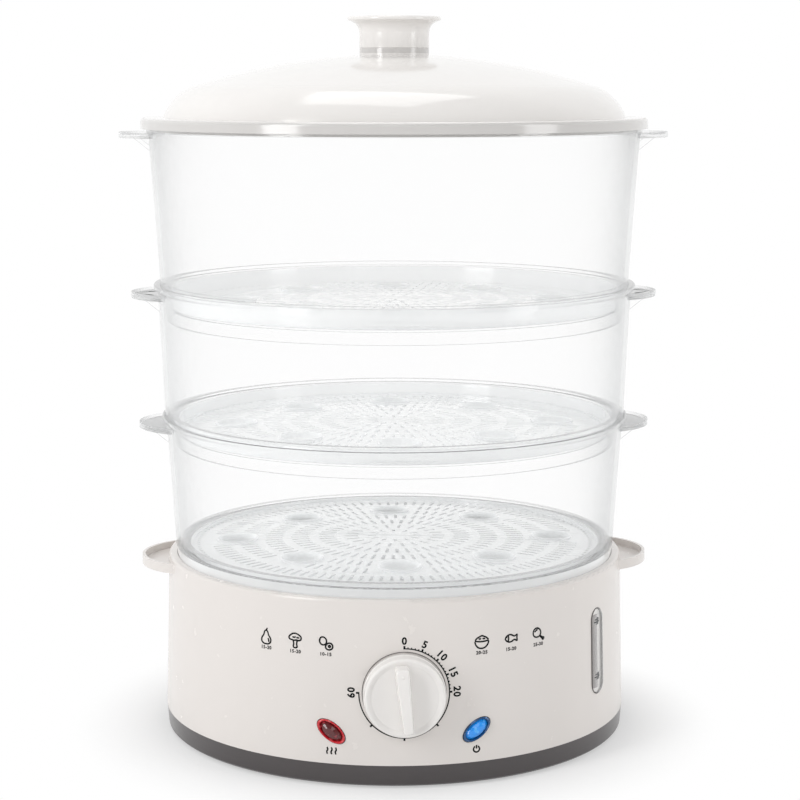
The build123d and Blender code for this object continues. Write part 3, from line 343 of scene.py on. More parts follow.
def lamp_glass(name, base, painted_light):
    """Faintly lit lens plastic, deeper in tone where it turns away, with painted pale glints in its facets.
    """
    look = new_look(name)
    facet = look.noise(420.0, 1.0)
    facing = look.node("ShaderNodeLayerWeight", {}, {"Blend": 0.5}, "Facing")
    tint = look.blend(look.range(facing, 0.15, 0.9), base, scaled(base, 0.4))
    # Painted glints: pale spots of the painted_light colour where the facet noise is high
    tint = look.blend(look.range(facet, 0.60, 0.66, 0.0, 0.4), tint, painted_light)
    return look.finish(
        look.plastic(
            base_color=tint,
            roughness=0.04 + facet * 0.04,
            normal=look.bump(facet, 0.12 * MM),
            coat_weight=0.6,
            coat_roughness=0.03,
            emission_color=colour(base),
            emission_strength=0.10,
            ior=1.49,
        )
    )


def printed(name, base):
    """Pad-printed ink, a little uneven at its edges and duller than the plastic."""
    look = new_look(name)
    pad = look.noise(3200.0, 2.0)
    tint = look.blend(look.range(pad, 0.45, 0.75, 0.0, 0.3), base, scaled(base, 2.2))
    return look.finish(
        look.plastic(
            base_color=tint,
            roughness=0.42 + pad * 0.2,
            normal=look.bump(pad, 0.004 * MM),
            specular_ior_level=0.12,
        )
    )


def white_ground(name):
    """A plain white floor that keeps the shadow and is pure white further out."""
    look = new_look(name)
    grain = look.blend(look.noise(700.0, 2.0), (0.80, 0.80, 0.80), (0.82, 0.82, 0.82))
    matt = look.node("ShaderNodeBsdfDiffuse", {}, {"Color": grain, "Roughness": 0.5})
    white = look.node("ShaderNodeEmission", {}, {"Color": (1.0, 1.0, 1.0, 1.0), "Strength": 1.0})
    away = look.node("ShaderNodeVectorMath", {"operation": "LENGTH"}, {0: look.place()}, "Value")
    near, far, least = 0.122, 0.175, 0.45
    share = look.range(away, near, far, least, 1.0) * look.seen()
    return look.finish(look.node("ShaderNodeMixShader", {}, {0: share, 1: matt, 2: white}))


# ---- Modelling helpers ----


def pick(*things):
    """Leave just these objects selected, with the first one active."""
    bpy.ops.object.select_all(action="DESELECT")
    for thing in things:
        thing.select_set(True)
    bpy.context.view_layer.objects.active = things[0]


def select_points(test):
    """In edit mode, select the points whose place passes the test."""
    mesh = bmesh.from_edit_mesh(bpy.context.active_object.data)
    mesh.select_mode = {"VERT"}
    for point in mesh.verts:
        point.select_set(test(point.co))
    mesh.select_flush_mode()
    bmesh.update_edit_mesh(bpy.context.active_object.data)


def wire(name, points):
    """A closed wire loop through points, from a circle with as many corners."""
    bpy.ops.object.select_all(action="DESELECT")
    bpy.ops.mesh.primitive_circle_add(vertices=len(points), radius=1.0)
    loop = bpy.context.active_object
    loop.name = loop.data.name = name
    for corner, place in zip(loop.data.vertices, points):
        corner.co = place
    return loop


def edit_whole():
    """Edit the active object with all of it selected."""
    bpy.ops.object.mode_set(mode="EDIT")
    bpy.ops.mesh.select_all(action="SELECT")


def leave_edit():
    """Go back to object mode."""
    bpy.ops.object.mode_set(mode="OBJECT")


def extrude(x, y, z):
    """Extrude what is selected by a step in millimetres."""
    bpy.ops.mesh.extrude_region_move(TRANSFORM_OT_translate={"value": (x * MM, y * MM, z * MM)})


def flat_face(name, points):
    """A face through points, left in edit mode and selected."""
    face = wire(name, points)
    edit_whole()
    bpy.ops.mesh.edge_face_add()
    return face


def tidy(piece):
    """Merge doubled points and turn every face outwards."""
    pick(piece)
    edit_whole()
    bpy.ops.mesh.remove_doubles(threshold=MERGE)
    bpy.ops.mesh.dissolve_degenerate(threshold=MERGE)
    bpy.ops.mesh.normals_make_consistent(inside=False)
    leave_edit()


def turned(name, section, steps):
    """A solid turned about the upright axis from a closed section, as radii and heights in millimetres."""
    piece = wire(name, [(radius * MM, 0.0, height * MM) for radius, height in section])
    edit_whole()
    bpy.ops.mesh.spin(steps=steps, angle=math.tau, center=(0.0, 0.0, 0.0), axis=(0.0, 0.0, 1.0))
    leave_edit()
    tidy(piece)
    return piece


def apply(piece, kind, **settings):
    """Add a modifier and apply it."""
    pick(piece)
    change = piece.modifiers.new(kind.lower(), kind)
    for setting, value in settings.items():
        setattr(change, setting, value)
    bpy.ops.object.modifier_apply(modifier=change.name)


def rounded(piece, radius, segments=3, angle=32.0):
    """Round the edges that are sharper than an angle."""
    apply(
        piece, "BEVEL", width=radius, segments=segments, limit_method="ANGLE",
        angle_limit=math.radians(angle), use_clamp_overlap=True, miter_outer="MITER_ARC",
    )


def smooth(piece, angle):
    """Shade a piece smooth, but for edges sharper than an angle."""
    pick(piece)
    bpy.ops.object.shade_smooth_by_angle(angle=math.radians(angle))


def joined(name, pieces):
    """Join pieces into one object."""
    pick(*pieces)
    bpy.ops.object.join()
    whole = bpy.context.active_object
    whole.name = whole.data.name = name
    return whole


def moved(piece, matrix):
    """Move a piece's mesh and leave its object at the origin."""
    piece.data.transform(matrix @ piece.matrix_world)
    piece.matrix_world = Matrix.Identity(4)
    return piece


def shift(x, y, z=0.0):
    """A move in millimetres."""
    return Matrix.Translation((x * MM, y * MM, z * MM))


def spin(degrees, axis="Z"):
    """A turn about an axis."""
    return Matrix.Rotation(math.radians(degrees), 4, axis)


def polar(radius, degrees):
    """A flat place, from its distance and direction."""
    angle = math.radians(degrees)
    return radius * math.cos(angle), radius * math.sin(angle)


def painted(piece, material):
    """Give a piece one material by name."""
    piece.data.materials.clear()
    piece.data.materials.append(bpy.data.materials[material])
    return piece


def placed(piece, body, slot, *nodes):
    """Give a finished and painted piece its body, and hide the solids that it stands for."""
    if not piece.data.vertices:
        raise RuntimeError(f"{piece.name} has no shape")
    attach(piece, body)
    if nodes:
        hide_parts(*nodes)
    return piece


def pen(name, strokes, radius):
    """Smooth lines with a thin round section, in millimetres. True closes a stroke."""
    curve = bpy.data.curves.new(name, "CURVE")
    curve.dimensions = "3D"
    curve.bevel_depth = radius * MM
    curve.bevel_resolution = 0
    curve.resolution_u = 4
    for closed, points in strokes:
        line = curve.splines.new("NURBS")
        line.points.add(len(points) - 1)
        for place, (x, y) in zip(line.points, points):
            place.co = (x * MM, y * MM, 0.0, 1.0)
        line.use_cyclic_u = closed
        line.use_endpoint_u = not closed
        line.order_u = 3
    drawing = bpy.data.objects.new(name, curve)
    bpy.context.scene.collection.objects.link(drawing)
    pick(drawing)
    bpy.ops.object.convert(target="MESH")
    return bpy.context.active_object


def wall_radius(height):
    """Outer radius of the base's sloping wall."""
    return wall_foot_radius - (height - wall_foot) * math.tan(wall_lean)


def wall_frame(azimuth, height, tilt=0.0):
    """A frame on the wall, with X along it, Y up it and Z out of it, turned by a tilt."""
    east, north = polar(1.0, azimuth)
    level = math.cos(wall_lean)
    out = Vector((east * level, north * level, math.sin(wall_lean)))
    along = Vector((-north, east, 0.0))
    axes = Matrix((along, out.cross(along), out)).transposed().to_4x4()
    return Matrix.Translation((*polar(wall_radius(height), azimuth), height)) @ axes @ spin(tilt)


def dial_frame():
    """A frame at the back of the dial, with X to the right, Y up and Z towards the front."""
    axes = Matrix(((1, 0, 0), (0, 0, -1), (0, 1, 0))).to_4x4()
    return Matrix.Translation(dial_centre) @ axes


def colours():
    return bpy.context.scene.steamer_colours


def sizes():
    return bpy.context.scene.steamer_sizes


# ---- Operators ----


class StageOperator(Operator):
    """Set the steamer on a white floor with soft lamps and a camera."""

    bl_idname = "steamer.stage"
    bl_label = "Stage"

    def execute(self, context):
        bpy.ops.object.select_all(action="DESELECT")
        bpy.ops.mesh.primitive_plane_add(size=30.0, location=(0.0, 0.0, 0.0))
        ground = context.active_object
        ground.name = "ground"
        ground.data.materials.append(white_ground("white_ground"))
        lamps = (
            ("key_lamp", (-1.25, -1.0, 0.75), (0.5, 1.3), 11.5),
            ("fill_lamp", (1.45, -0.75, 0.65), (0.5, 1.2), 6.0),
            ("front_lamp", (0.2, -1.9, 1.1), (1.2, 0.5), 2.5),
            ("top_lamp", (-0.1, 0.05, 1.6), (0.9, 0.9), 5.0),
        )
        for name, place, (wide, high), power in lamps:
            bpy.ops.object.light_add(type="AREA", location=place)
            lamp = context.active_object
            lamp.name = name
            lamp.data.shape = "RECTANGLE"
            lamp.data.size, lamp.data.size_y = wide, high
            lamp.data.energy = power
            aim = Vector((0.0, 0.0, 0.17)) - Vector(place)
            lamp.rotation_euler = aim.to_track_quat("-Z", "Y").to_euler()
        self.make_world(context)
        bpy.ops.object.camera_add(location=(-0.0431, -1.0982, 0.340))
        camera = context.active_object
        camera.rotation_euler = (math.radians(81.28), 0.0, math.radians(-2.4))
        camera.data.lens = 95.13
        camera.data.sensor_width = 36.0
        camera.data.clip_end = 50.0
        context.scene.camera = camera
        context.scene.view_settings.view_transform = "Standard"
        context.scene.cycles.transparent_max_bounces = 48
        return {"FINISHED"}

    def make_world(self, context):
        """A white studio: bright behind and at the sides, dimmer overhead and at the front."""
        world = bpy.data.worlds.new("studio")
        context.scene.world = world
        look = Look(world)
        heading = look.node("ShaderNodeTexCoord", {}, {}, "Generated")
        behind = look.node("ShaderNodeSeparateXYZ", {}, {"Vector": heading}, "Y")
        above = look.node("ShaderNodeSeparateXYZ", {}, {"Vector": heading}, "Z")
        front_strength = 0.44
        walls = look.range(behind - look.size_of(above) * 0.7, -0.75, 0.05, front_strength, 1.0)
        strength = walls + look.seen("Is Camera Ray", "Is Transmission Ray") * (1.0 - walls)
        sky = look.node("ShaderNodeBackground", {}, {"Color": (1.0, 1.0, 1.0, 1.0), "Strength": strength})
        look.node("ShaderNodeOutputWorld", {}, {"Surface": sky})


class FinishesOperator(Operator):
    """Make every plastic, rubber, metal, glass and ink, and give the solids theirs."""

    bl_idname = "steamer.finishes"
    bl_label = "Finishes"

    def execute(self, context):
        paint = colours()
        # The floors' last number is painted light: they emit a little of their tint, so they show lighter
        # than the lamps make them
        clear("clear_floor", scaled(paint.clear, 1.12), 0.30, 0.98, 1.8, 0.08, 0.12, 0.08, 1.0, 0.10)
        clear("clear_tab", scaled(paint.clear, 1.05), 0.03, 0.9, 3.0, 0.55)
        clear("clear_thick", paint.clear, 0.06, 0.8, 3.0, 0.3)
        # Painted light: the lid knob's plastic is the lid's colour made 1.04 times lighter, a lit copy of the
        # lid's plastic
        moulded("lid_knob_plastic", scaled(paint.lid, 1.04), 0.18, 0.006, 0.3)
        # The third value of each lens rim is the colour of its painted glints
        lamp_glass("red_rim", paint.red, (0.95, 0.30, 0.30))
        lamp_glass("blue_rim", scaled(paint.blue, 0.2), (0.25, 0.45, 0.95))
        moulded("gauge_grey", (0.40, 0.38, 0.375), 0.2, 0.01)
        # grey_line draws the painted shadow lines round the dial and round the gauge window, and the line
        # along the gauge glass
        printed("grey_line", (0.17, 0.16, 0.155))
        printed("ink", paint.ink)
        clear("clear_wall", paint.clear, 0.012, 0.85, 4.2, 0.62)
        moulded("white_plastic", paint.white, 0.26)
        # The lid is painted with shade, 0.77 of its colour, below its flange height and above its knob's seat
        moulded("lid_plastic", paint.lid, 0.14, 0.006, 0.5, (LID_FLANGE, LID_SEAT, 0.77))
        moulded("dark_plastic", paint.band, 0.30, 0.02, 0.35)
        # Painted light: knob_plastic is the lid's colour made 1.08 times lighter, a lit copy of the lid's
        # plastic
        moulded("knob_plastic", scaled(paint.lid, 1.08), 0.22, 0.01, 0.2)
        # The third value of each lens middle is the colour of its painted glints
        lamp_glass("red_lens", scaled(paint.red, 0.15), (0.55, 0.05, 0.08))
        lamp_glass("blue_lens", paint.blue, (0.15, 0.60, 1.0))
        soft_rubber("foot_rubber", (0.03, 0.03, 0.03))
        soft_rubber("silicone", (0.50, 0.46, 0.42))
        metal("heater_aluminium", (0.62, 0.62, 0.63), 0.38, EVEN, 900.0, 0.06)
        metal("element_steel", (0.30, 0.28, 0.26), 0.42, EVEN)
        metal("screw_steel", (0.60, 0.60, 0.60), 0.30, (1.0, 1.0, 6.0))
        metal("bell_steel", (0.66, 0.65, 0.62), 0.16, (5.0, 1.0, 1.0))
        moulded("black_plastic", (0.022, 0.022, 0.023), 0.46, 0.02, 0.0)
        moulded("holder_plastic", (0.62, 0.60, 0.55), 0.5, 0.02, 0.0)
        clear("bulb_glass", (0.95, 0.80, 0.60), 0.25, 0.9, 2.5)
        slots = {part["node"]: part["material_slot"] for part in frame["record"]["subparts"]}
        for name, solid in frame["nodes"].items():
            finish = slots[name]
            if finish == "clear_plastic":
                finish = "clear_floor" if name == "drip_tray" else "clear_wall"
            painted(solid, finish)
        return {"FINISHED"}


# A clear bowl in millimetres: heights of what it stands on and of its own seat, depth of its skirt, radii
# of the skirt's top and bottom, foot, top, rim, inside of the bead and reach of the tabs, then how far the
# tabs lie below the seat and the ledge for the floor below what the bowl stands on
Bowl = namedtuple("Bowl", "stands seat depth skirt skirt_low foot top rim bead reach drop ledge")
BOWLS = {
    1: Bowl(97.3, 164.3, 3.3, 110.3, 110.1, 115.1, 119.3, 121.4, 120.1, 133.6, 3.8, 2.1),
    2: Bowl(164.3, 232.3, 13.5, 116.1, 114.5, 119.8, 122.6, 124.8, 121.4, 136.7, 3.9, 7.0),
    3: Bowl(232.3, 311.8, 17.2, 119.6, 118.0, 121.1, 126.1, 127.2, 125.3, 141.6, 1.4, 10.1),
}
BOWL_WALL = 2.2
BEAD_HEIGHT = 1.7
LEDGE_WIDTH = 2.6
LEDGE_SHEET = 1.2
TAB_RADIUS = 34.0
TAB_SHEET = 1.6
TAB_EDGE = 1.2
GUSSET_SPREAD = 14.0
GUSSET_SHEET = 1.8


class BowlsOperator(Operator):
    """Model the three clear bowls with their skirts, rims and lifting tabs."""

    bl_idname = "steamer.bowls"
    bl_label = "Clear bowls"

    def execute(self, context):
        for tier in TIERS:
            shell = painted(self.make_shell(tier), "clear_wall")
            tabs = [painted(self.make_tab(tier, side), "clear_tab") for side in (-1, 1)]
            whole = joined(f"clear_bowl_{tier}", [shell, *tabs])
            smooth(whole, 34.0)
            placed(whole, f"bowl_{tier}", "clear_plastic", f"bowl_{tier}")
        return {"FINISHED"}

    def make_shell(self, tier):
        """A wall with a rim at its top, and a hanging skirt with a ledge for the floor at its foot."""
        bowl = BOWLS[tier]
        stands, seat, depth, skirt, skirt_low, foot, top, rim, bead = bowl[:9]
        ledge = stands - bowl.ledge
        inner = skirt_low + (skirt - skirt_low) * (1 - (stands - ledge) / depth) - BOWL_WALL
        section = [
            (skirt_low, stands - depth),
            (skirt, stands),
            (foot, stands),
            (foot + 0.5 * (top - foot), (stands + seat) / 2),
            (top, seat - 2.0),
            (rim, seat - 0.3),
            (rim, seat + BEAD_HEIGHT),
            (bead, seat + BEAD_HEIGHT),
            (bead, seat),
            (top - BOWL_WALL, seat),
            (foot - BOWL_WALL, stands + BOWL_WALL),
            (skirt - BOWL_WALL, stands + BOWL_WALL),
            (inner, ledge),
            (inner - LEDGE_WIDTH, ledge),
            (inner - LEDGE_WIDTH, ledge - LEDGE_SHEET),
            (skirt_low - BOWL_WALL, ledge - LEDGE_SHEET),
            (skirt_low - BOWL_WALL, stands - depth),
        ]
        shell = turned(f"shell_{tier}", section, 256)
        rounded(shell, sizes().edge)
        return shell

    def make_tab(self, tier, side):
        """A half-round plate with a raised edge, and two gussets under its root."""
        bowl = BOWLS[tier]
        root = (bowl.top - BOWL_WALL / 2) * MM
        middle = side * (bowl.reach - TAB_RADIUS) * MM
        bottom = (bowl.seat - bowl.drop - TAB_SHEET) * MM
        bpy.ops.object.select_all(action="DESELECT")
        bpy.ops.mesh.primitive_circle_add(
            vertices=96, radius=TAB_RADIUS * MM, fill_type="NGON", location=(middle, 0.0, bottom)
        )
        tab = bpy.context.active_object
        moved(tab, Matrix.Identity(4))
        for corner in tab.data.vertices:
            if side * corner.co.x < 0 or math.hypot(corner.co.x, corner.co.y) < root:
                across = max(-root * 0.999, min(root * 0.999, corner.co.y))
                corner.co.x = side * math.sqrt(root**2 - across**2)
        tidy(tab)
        edit_whole()
        extrude(0.0, 0.0, TAB_SHEET + TAB_EDGE)
        bpy.ops.mesh.inset(thickness=TAB_SHEET * MM, use_even_offset=True)
        bpy.ops.transform.translate(value=(0.0, 0.0, -TAB_EDGE * MM))
        leave_edit()
        tidy(tab)
        rounded(tab, 0.5 * MM, 3, 40.0)
        gussets = []
        for spread in (-GUSSET_SPREAD, GUSSET_SPREAD):
            start = math.sqrt(root**2 - (spread * MM) ** 2)
            near = (spread - GUSSET_SHEET / 2) * MM
            corners = ((start, 0.2), (start + 9.0 * MM, 0.2), (start, -7.0))
            rib = flat_face("gusset", [(side * x, near, bottom + z * MM) for x, z in corners])
            extrude(0.0, GUSSET_SHEET, 0.0)
            leave_edit()
            tidy(rib)
            rounded(rib, 0.35 * MM, 2, 40.0)
            gussets.append(rib)
        return joined("tab", [tab, *gussets])


# A bowl floor in millimetres: its underside, its radius, the height of its rim above the plate and the
# radius of its ring of small holes
Floor = namedtuple("Floor", "bottom radius rim holes")
FLOORS = {
    1: Floor(95.2, 107.7, 1.6, 103.6),
    2: Floor(157.3, 112.8, 6.0, 108.4),
    3: Floor(222.2, 116.2, 8.5, 112.0),
}
FLOOR_SHEET = 1.4
# Rings of steam slots: radius, length of a slot and number of slots
SLOT_RINGS = (
    (12.0, 5.0, 12), (23.0, 7.5, 22), (36.0, 9.0, 44), (50.0, 9.5, 62),
    (64.0, 9.5, 80), (78.0, 9.5, 98), (92.0, 9.5, 116),
)
FILL_TURN = 0.1234
GRIP_HALF = 20.0
CUP_RADIUS = 10.5
CUPS = [polar(83.0 if index % 4 == 0 else 69.0, index * 45.0) for index in range(8)]


class FloorsOperator(Operator):
    """Model the three pierced floors with steam slots, egg cups and rims."""

    bl_idname = "steamer.floors"
    bl_label = "Bowl floors"

    def execute(self, context):
        cup = self.make_cup()
        for tier in TIERS:
            plate = self.make_plate(tier)
            rim = self.make_rim(tier)
            cups = []
            for x, y in CUPS:
                pick(cup)
                bpy.ops.object.duplicate()
                cups.append(moved(bpy.context.active_object, shift(x, y, FLOORS[tier].bottom)))
            whole = joined(f"pierced_floor_{tier}", [plate, rim, *cups])
            self.crown(whole, tier)
            smooth(whole, 30.0)
            painted(whole, "clear_floor")
            placed(whole, f"bowl_floor_{tier}", "clear_plastic", f"bowl_floor_{tier}")
        pick(cup)
        bpy.ops.object.delete()
        return {"FINISHED"}

    def ring_of_holes(self, radius, length, width, count, height):
        """Add one hole or slot in edit mode and repeat it round the middle."""
        bpy.ops.mesh.select_all(action="DESELECT")
        reach = max(0.0, length - width) / 2
        near = radius - reach
        bpy.ops.mesh.primitive_circle_add(
            vertices=8, radius=width / 2, location=(near, 0.0, height), rotation=(0.0, 0.0, math.pi / 8)
        )
        mesh = bmesh.from_edit_mesh(bpy.context.active_object.data)
        for point in mesh.verts:
            if point.select and point.co.x > near:
                point.co.x += 2 * reach
        bmesh.update_edit_mesh(bpy.context.active_object.data)
        bpy.ops.mesh.spin(
            steps=count - 1, dupli=True, angle=math.tau * (count - 1) / count,
            center=(0.0, 0.0, height), axis=(0.0, 0.0, 1.0),
        )

    def make_plate(self, tier):
        """A round sheet with its slots, its small holes and room for the cups."""
        floor = FLOORS[tier]
        top = (floor.bottom + FLOOR_SHEET) * MM
        radius = (floor.radius - 0.2) * MM
        bpy.ops.object.select_all(action="DESELECT")
        bpy.ops.mesh.primitive_circle_add(vertices=192, radius=radius, location=(0.0, 0.0, top))
        plate = bpy.context.active_object
        plate.name = plate.data.name = f"plate_{tier}"
        moved(plate, Matrix.Identity(4))
        edit_whole()
        for ring, long, count in SLOT_RINGS:
            self.ring_of_holes(ring * MM, long * MM, sizes().slot_width, count, top)
        hole = 2 * sizes().hole_radius
        self.ring_of_holes(floor.holes * MM, hole, hole, sizes().hole_count, top)
        middles = [(x * MM, y * MM) for x, y in CUPS]
        clear_of = (CUP_RADIUS + 1.2) * MM
        select_points(lambda p: any(math.hypot(p.x - x, p.y - y) < clear_of for x, y in middles))
        bpy.ops.mesh.select_linked()
        bpy.ops.mesh.delete(type="VERT")
        radius = (CUP_RADIUS - 0.4) * MM
        for x, y in middles:
            bpy.ops.mesh.primitive_circle_add(vertices=40, radius=radius, location=(x, y, top))
        # The fill goes wrong on slots that lie level, so the plate is filled askew and turned back
        leave_edit()
        moved(plate, Matrix.Rotation(FILL_TURN, 4, "Z"))
        edit_whole()
        bpy.ops.mesh.fill(use_beauty=False)
        bpy.ops.mesh.normals_make_consistent(inside=False)
        leave_edit()
        moved(plate, Matrix.Rotation(-FILL_TURN, 4, "Z"))
        apply(plate, "SOLIDIFY", thickness=FLOOR_SHEET * MM, offset=-1.0)
        return plate

    def make_rim(self, tier):
        """A ring round the plate, with a flat grip panel at the front and at the back."""
        floor = FLOORS[tier]
        inner = floor.radius - FLOOR_SHEET
        high = floor.bottom + FLOOR_SHEET + floor.rim
        section = [(floor.radius, floor.bottom), (floor.radius, high), (inner, high), (inner, floor.bottom)]
        ring = turned(f"rim_{tier}", section, 256)
        rounded(ring, 0.4 * MM)
        chord = math.sqrt(floor.radius**2 - GRIP_HALF**2)
        for point in ring.data.vertices:
            if abs(point.co.x) < GRIP_HALF * MM:
                depth = floor.radius * MM - math.hypot(point.co.x, point.co.y)
                point.co.y = math.copysign(min(abs(point.co.y), chord * MM - depth), point.co.y)
        return ring

    def make_cup(self):
        """A shallow cup that an egg stands in, with a small drain hole."""
        section = [
            (2.2, -3.5), (7.6, -3.5), (9.6, -1.6), (CUP_RADIUS, 0.2), (CUP_RADIUS + 0.9, 1.7),
            (CUP_RADIUS + 0.9, 2.5), (CUP_RADIUS - 0.1, 2.5), (8.6, -0.6), (6.9, -2.1), (2.2, -2.1),
        ]
        cup = turned("egg_cup", section, 40)
        rounded(cup, 0.3 * MM, 2, 40.0)
        return cup

    def crown(self, whole, tier):
        """Raise the middle of a floor into a slight crown."""
        radius = FLOORS[tier].radius * MM
        for point in whole.data.vertices:
            share = min(1.0, math.hypot(point.co.x, point.co.y) / radius)
            point.co.z += sizes().floor_crown * (1 - share**2)


class DialOperator(Operator):
    """Model the timer dial with its rim, dished face and bar grip."""

    bl_idname = "steamer.dial"
    bl_label = "Timer dial"

    def execute(self, context):
        rim = dial_radius / MM
        section = [
            (0.0, 0.4), (rim - 2.6, 0.4), (rim - 2.6, 0.0), (rim, 0.0), (rim, 2.6), (rim - 0.3, 3.1),
            (rim - 0.55, 7.4), (rim - 0.95, 8.2), (rim - 1.6, 8.4), (rim - 2.2, 8.25), (rim - 3.9, 7.35),
            (0.0, 7.2),
        ]
        body = turned("dial_body", section, 128)
        rounded(body, 0.35 * MM, 3, 20.0)
        grip = self.make_grip()
        whole = joined("dial_and_grip", [body, grip])
        smooth(whole, 35.0)
        painted(moved(whole, dial_frame()), "knob_plastic")
        placed(whole, "timer_dial", "knob_plastic", "timer_dial")
        return {"FINISHED"}

    def make_grip(self):
        """A tapering bar with squarish ends and a bead that points to the minutes."""
        wide, narrow, half, squareness = 3.7, 2.75, 16.5, 0.55
        points = []
        for radius, centre, first in ((wide, half - wide, 0.0), (narrow, narrow - half, 180.0)):
            for corner in range(13):
                across, along = polar(1.0, first + 180.0 * corner / 12)
                across = math.copysign(abs(across) ** squareness, across)
                along = math.copysign(abs(along) ** squareness, along)
                points.append((radius * across, centre + radius * along, 6.6))
        grip = flat_face("grip", [(x * MM, y * MM, z * MM) for x, y, z in points])
        for rise, share in ((0.9, 0.95), (5.6, 0.91), (1.4, 0.97), (0.6, 0.86), (0.1, 0.70)):
            extrude(0.0, 0.0, rise)
            bpy.ops.transform.resize(value=(share, 1.0 - (1.0 - share) * 0.17, 1.0))
        leave_edit()
        tidy(grip)
        rounded(grip, 0.25 * MM, 2, 25.0)
        bead = turned("pointer", [(0.0, -0.5), (0.9, -0.4), (0.9, 0.0), (0.45, 0.32), (0.0, 0.4)], 24)
        moved(bead, shift(0.0, half - 4.2, 15.15))
        return moved(joined("grip", [grip, bead]), spin(5.8))


class KnobOperator(Operator):
    """Model the lid's knob, a flared trumpet under a flat rim."""

    bl_idname = "steamer.knob"
    bl_label = "Lid knob"

    def execute(self, context):
        low, high = knob_low.z / MM, knob_high.z / MM
        stem = 17.9
        rim = knob_high.x / MM
        section = [
            (0.0, low), (stem, low), (stem, low + 7.6), (stem + 0.25, low + 9.4), (stem + 0.9, low + 11.0),
            (stem + 2.1, low + 12.4), (stem + 3.9, low + 13.5), (rim - 0.3, high - 2.0), (rim, high - 1.7),
            (rim, high - 0.7), (rim - 0.4, high - 0.2), (rim - 1.2, high), (rim - 5.0, high),
            (0.0, high - 0.4),
        ]
        knob = turned("flared_knob", section, 128)
        rounded(knob, 0.3 * MM, 3, 28.0)
        smooth(knob, 35.0)
        placed(painted(knob, "lid_knob_plastic"), "lid", "lid_plastic", "lid_knob")
        return {"FINISHED"}


LAMP_HEIGHT = 28.0
LENS_HALVES = (8.0, 4.4)


class LampsOperator(Operator):
    """Model the two faceted lamp lenses in their oval rims."""

    bl_idname = "steamer.lamps"
    bl_label = "Indicator lamps"

    def execute(self, context):
        for name, azimuth, tilt in (("red", -106.9, -36.0), ("blue", -73.1, 36.0)):
            whole = moved(self.make_lens(name), wall_frame(azimuth, LAMP_HEIGHT * MM, tilt))
            placed(whole, "base", f"{name}_lens", f"{name}_lamp_lens")
        return {"FINISHED"}

    def make_lens(self, name):
        """An oval rim round a gem-cut middle, set in a narrow dark ring of painted shade, turned round and
        then stretched.
        """
        lip = [(1.0, -4.0), (1.0, 0.35), (0.965, 0.75), (0.90, 0.85), (0.84, 0.6), (0.80, -0.2), (0.80, -4.0)]
        cut = [(0.0, 1.5), (0.30, 1.45), (0.62, 0.75), (0.80, -0.3), (0.80, -1.0), (0.0, -1.0)]
        rim = turned("rim", lip, 64)
        gem = turned("gem", cut, 14)
        # Painted shade: a thin dark ring round the rim, where only the shadow of the opening in the housing
        # is
        gap_shade = turned("gap_shade", [(1.0, -1.0), (1.035, -1.0), (1.035, 0.06), (1.0, 0.06)], 64)
        smooth(rim, 40.0)
        parts = [painted(rim, f"{name}_rim"), painted(gem, f"{name}_lens"), painted(gap_shade, "ink")]
        return moved(joined(f"{name}_faceted_lens", parts), Matrix.Diagonal((*LENS_HALVES, 1.0, 1.0)))


GAUGE_AZIMUTH = -34.0
GAUGE_HEIGHT = 53.1
LEVEL_MARKS = (68.3, 40.0)


class GaugeOperator(Operator):
    """Model the water gauge's window with its level marks."""

    bl_idname = "steamer.gauge"
    bl_label = "Water gauge"

    def execute(self, context):
        frame_matrix = wall_frame(GAUGE_AZIMUTH, GAUGE_HEIGHT * MM)
        rises = ((2.2, 1.0), (0.5, 0.95), (0.35, 0.8), (0.1, 0.6))
        window = self.make_pill("gauge_glass", 21.8, 5.6, rises, -1.9)
        smooth(window, 60.0)
        painted(moved(window, frame_matrix), "clear_thick")
        placed(window, "base", "clear_plastic", "gauge_window")
        bow = ((3.4, 19.6), (4.3, 17.0), (4.3, 0.0), (4.3, -17.0), (3.4, -19.6))
        # Painted shadow: a grey line round the window, where the shadow of the join between window and wall
        # falls
        gap_shadow = pen("gauge_gap_shadow", ((True, self.outline(22.0, 5.75)),), 0.28)
        edge = pen("glass_edge", ((False, bow),), 0.22)
        parts = [painted(moved(line, shift(0.0, 0.0, 0.12)), "grey_line") for line in (gap_shadow, edge)]
        tube = turned("float_tube", [(0.0, -18.6), (2.9, -18.6), (2.9, 18.6), (0.0, 18.6)], 32)
        smooth(tube, 40.0)
        flat = Matrix.Diagonal((1.0, 1.0, 0.4, 1.0)) @ spin(-90.0, "X")
        parts.append(painted(moved(tube, shift(-2.0, 0.0, -0.55) @ flat), "gauge_grey"))
        parts.append(painted(self.make_pill("gauge_back", 21.5, 5.3, ((1.2, 1.0),), -1.7), "knob_plastic"))
        for mark in LEVEL_MARKS:
            for rise, radius in ((-1.5, 3.3), (-0.4, 3.8), (0.9, 3.6)):
                ring = turned("level_ring", [(0.0, 0.0), (radius, 0.0), (radius, 0.6), (0.0, 0.6)], 32)
                spot = shift(-0.9, mark - GAUGE_HEIGHT + rise, -0.65)
                parts.append(painted(moved(ring, spot @ flat), "ink"))
        whole = moved(joined("gauge_inside", parts), frame_matrix)
        placed(whole, "base", "black_plastic")
        return {"FINISHED"}

    def outline(self, half, radius):
        """The corners of an upright pill."""
        corners = []
        for centre, first in ((half - radius, 0.0), (radius - half, 180.0)):
            for corner in range(17):
                x, y = polar(radius, first + 180.0 * corner / 16)
                corners.append((x, centre + y))
        return corners

    def make_pill(self, name, half, radius, rises, bottom):
        """An upright pill, raised from its outline in layers that each leave a share of its width."""
        pill = flat_face(name, [(x * MM, y * MM, bottom * MM) for x, y in self.outline(half, radius)])
        for rise, share in rises:
            extrude(0.0, 0.0, rise)
            if share < 1.0:
                bpy.ops.transform.resize(value=(share, 1.0 - (1.0 - share) * radius / half, 1.0))
        leave_edit()
        tidy(pill)
        return pill


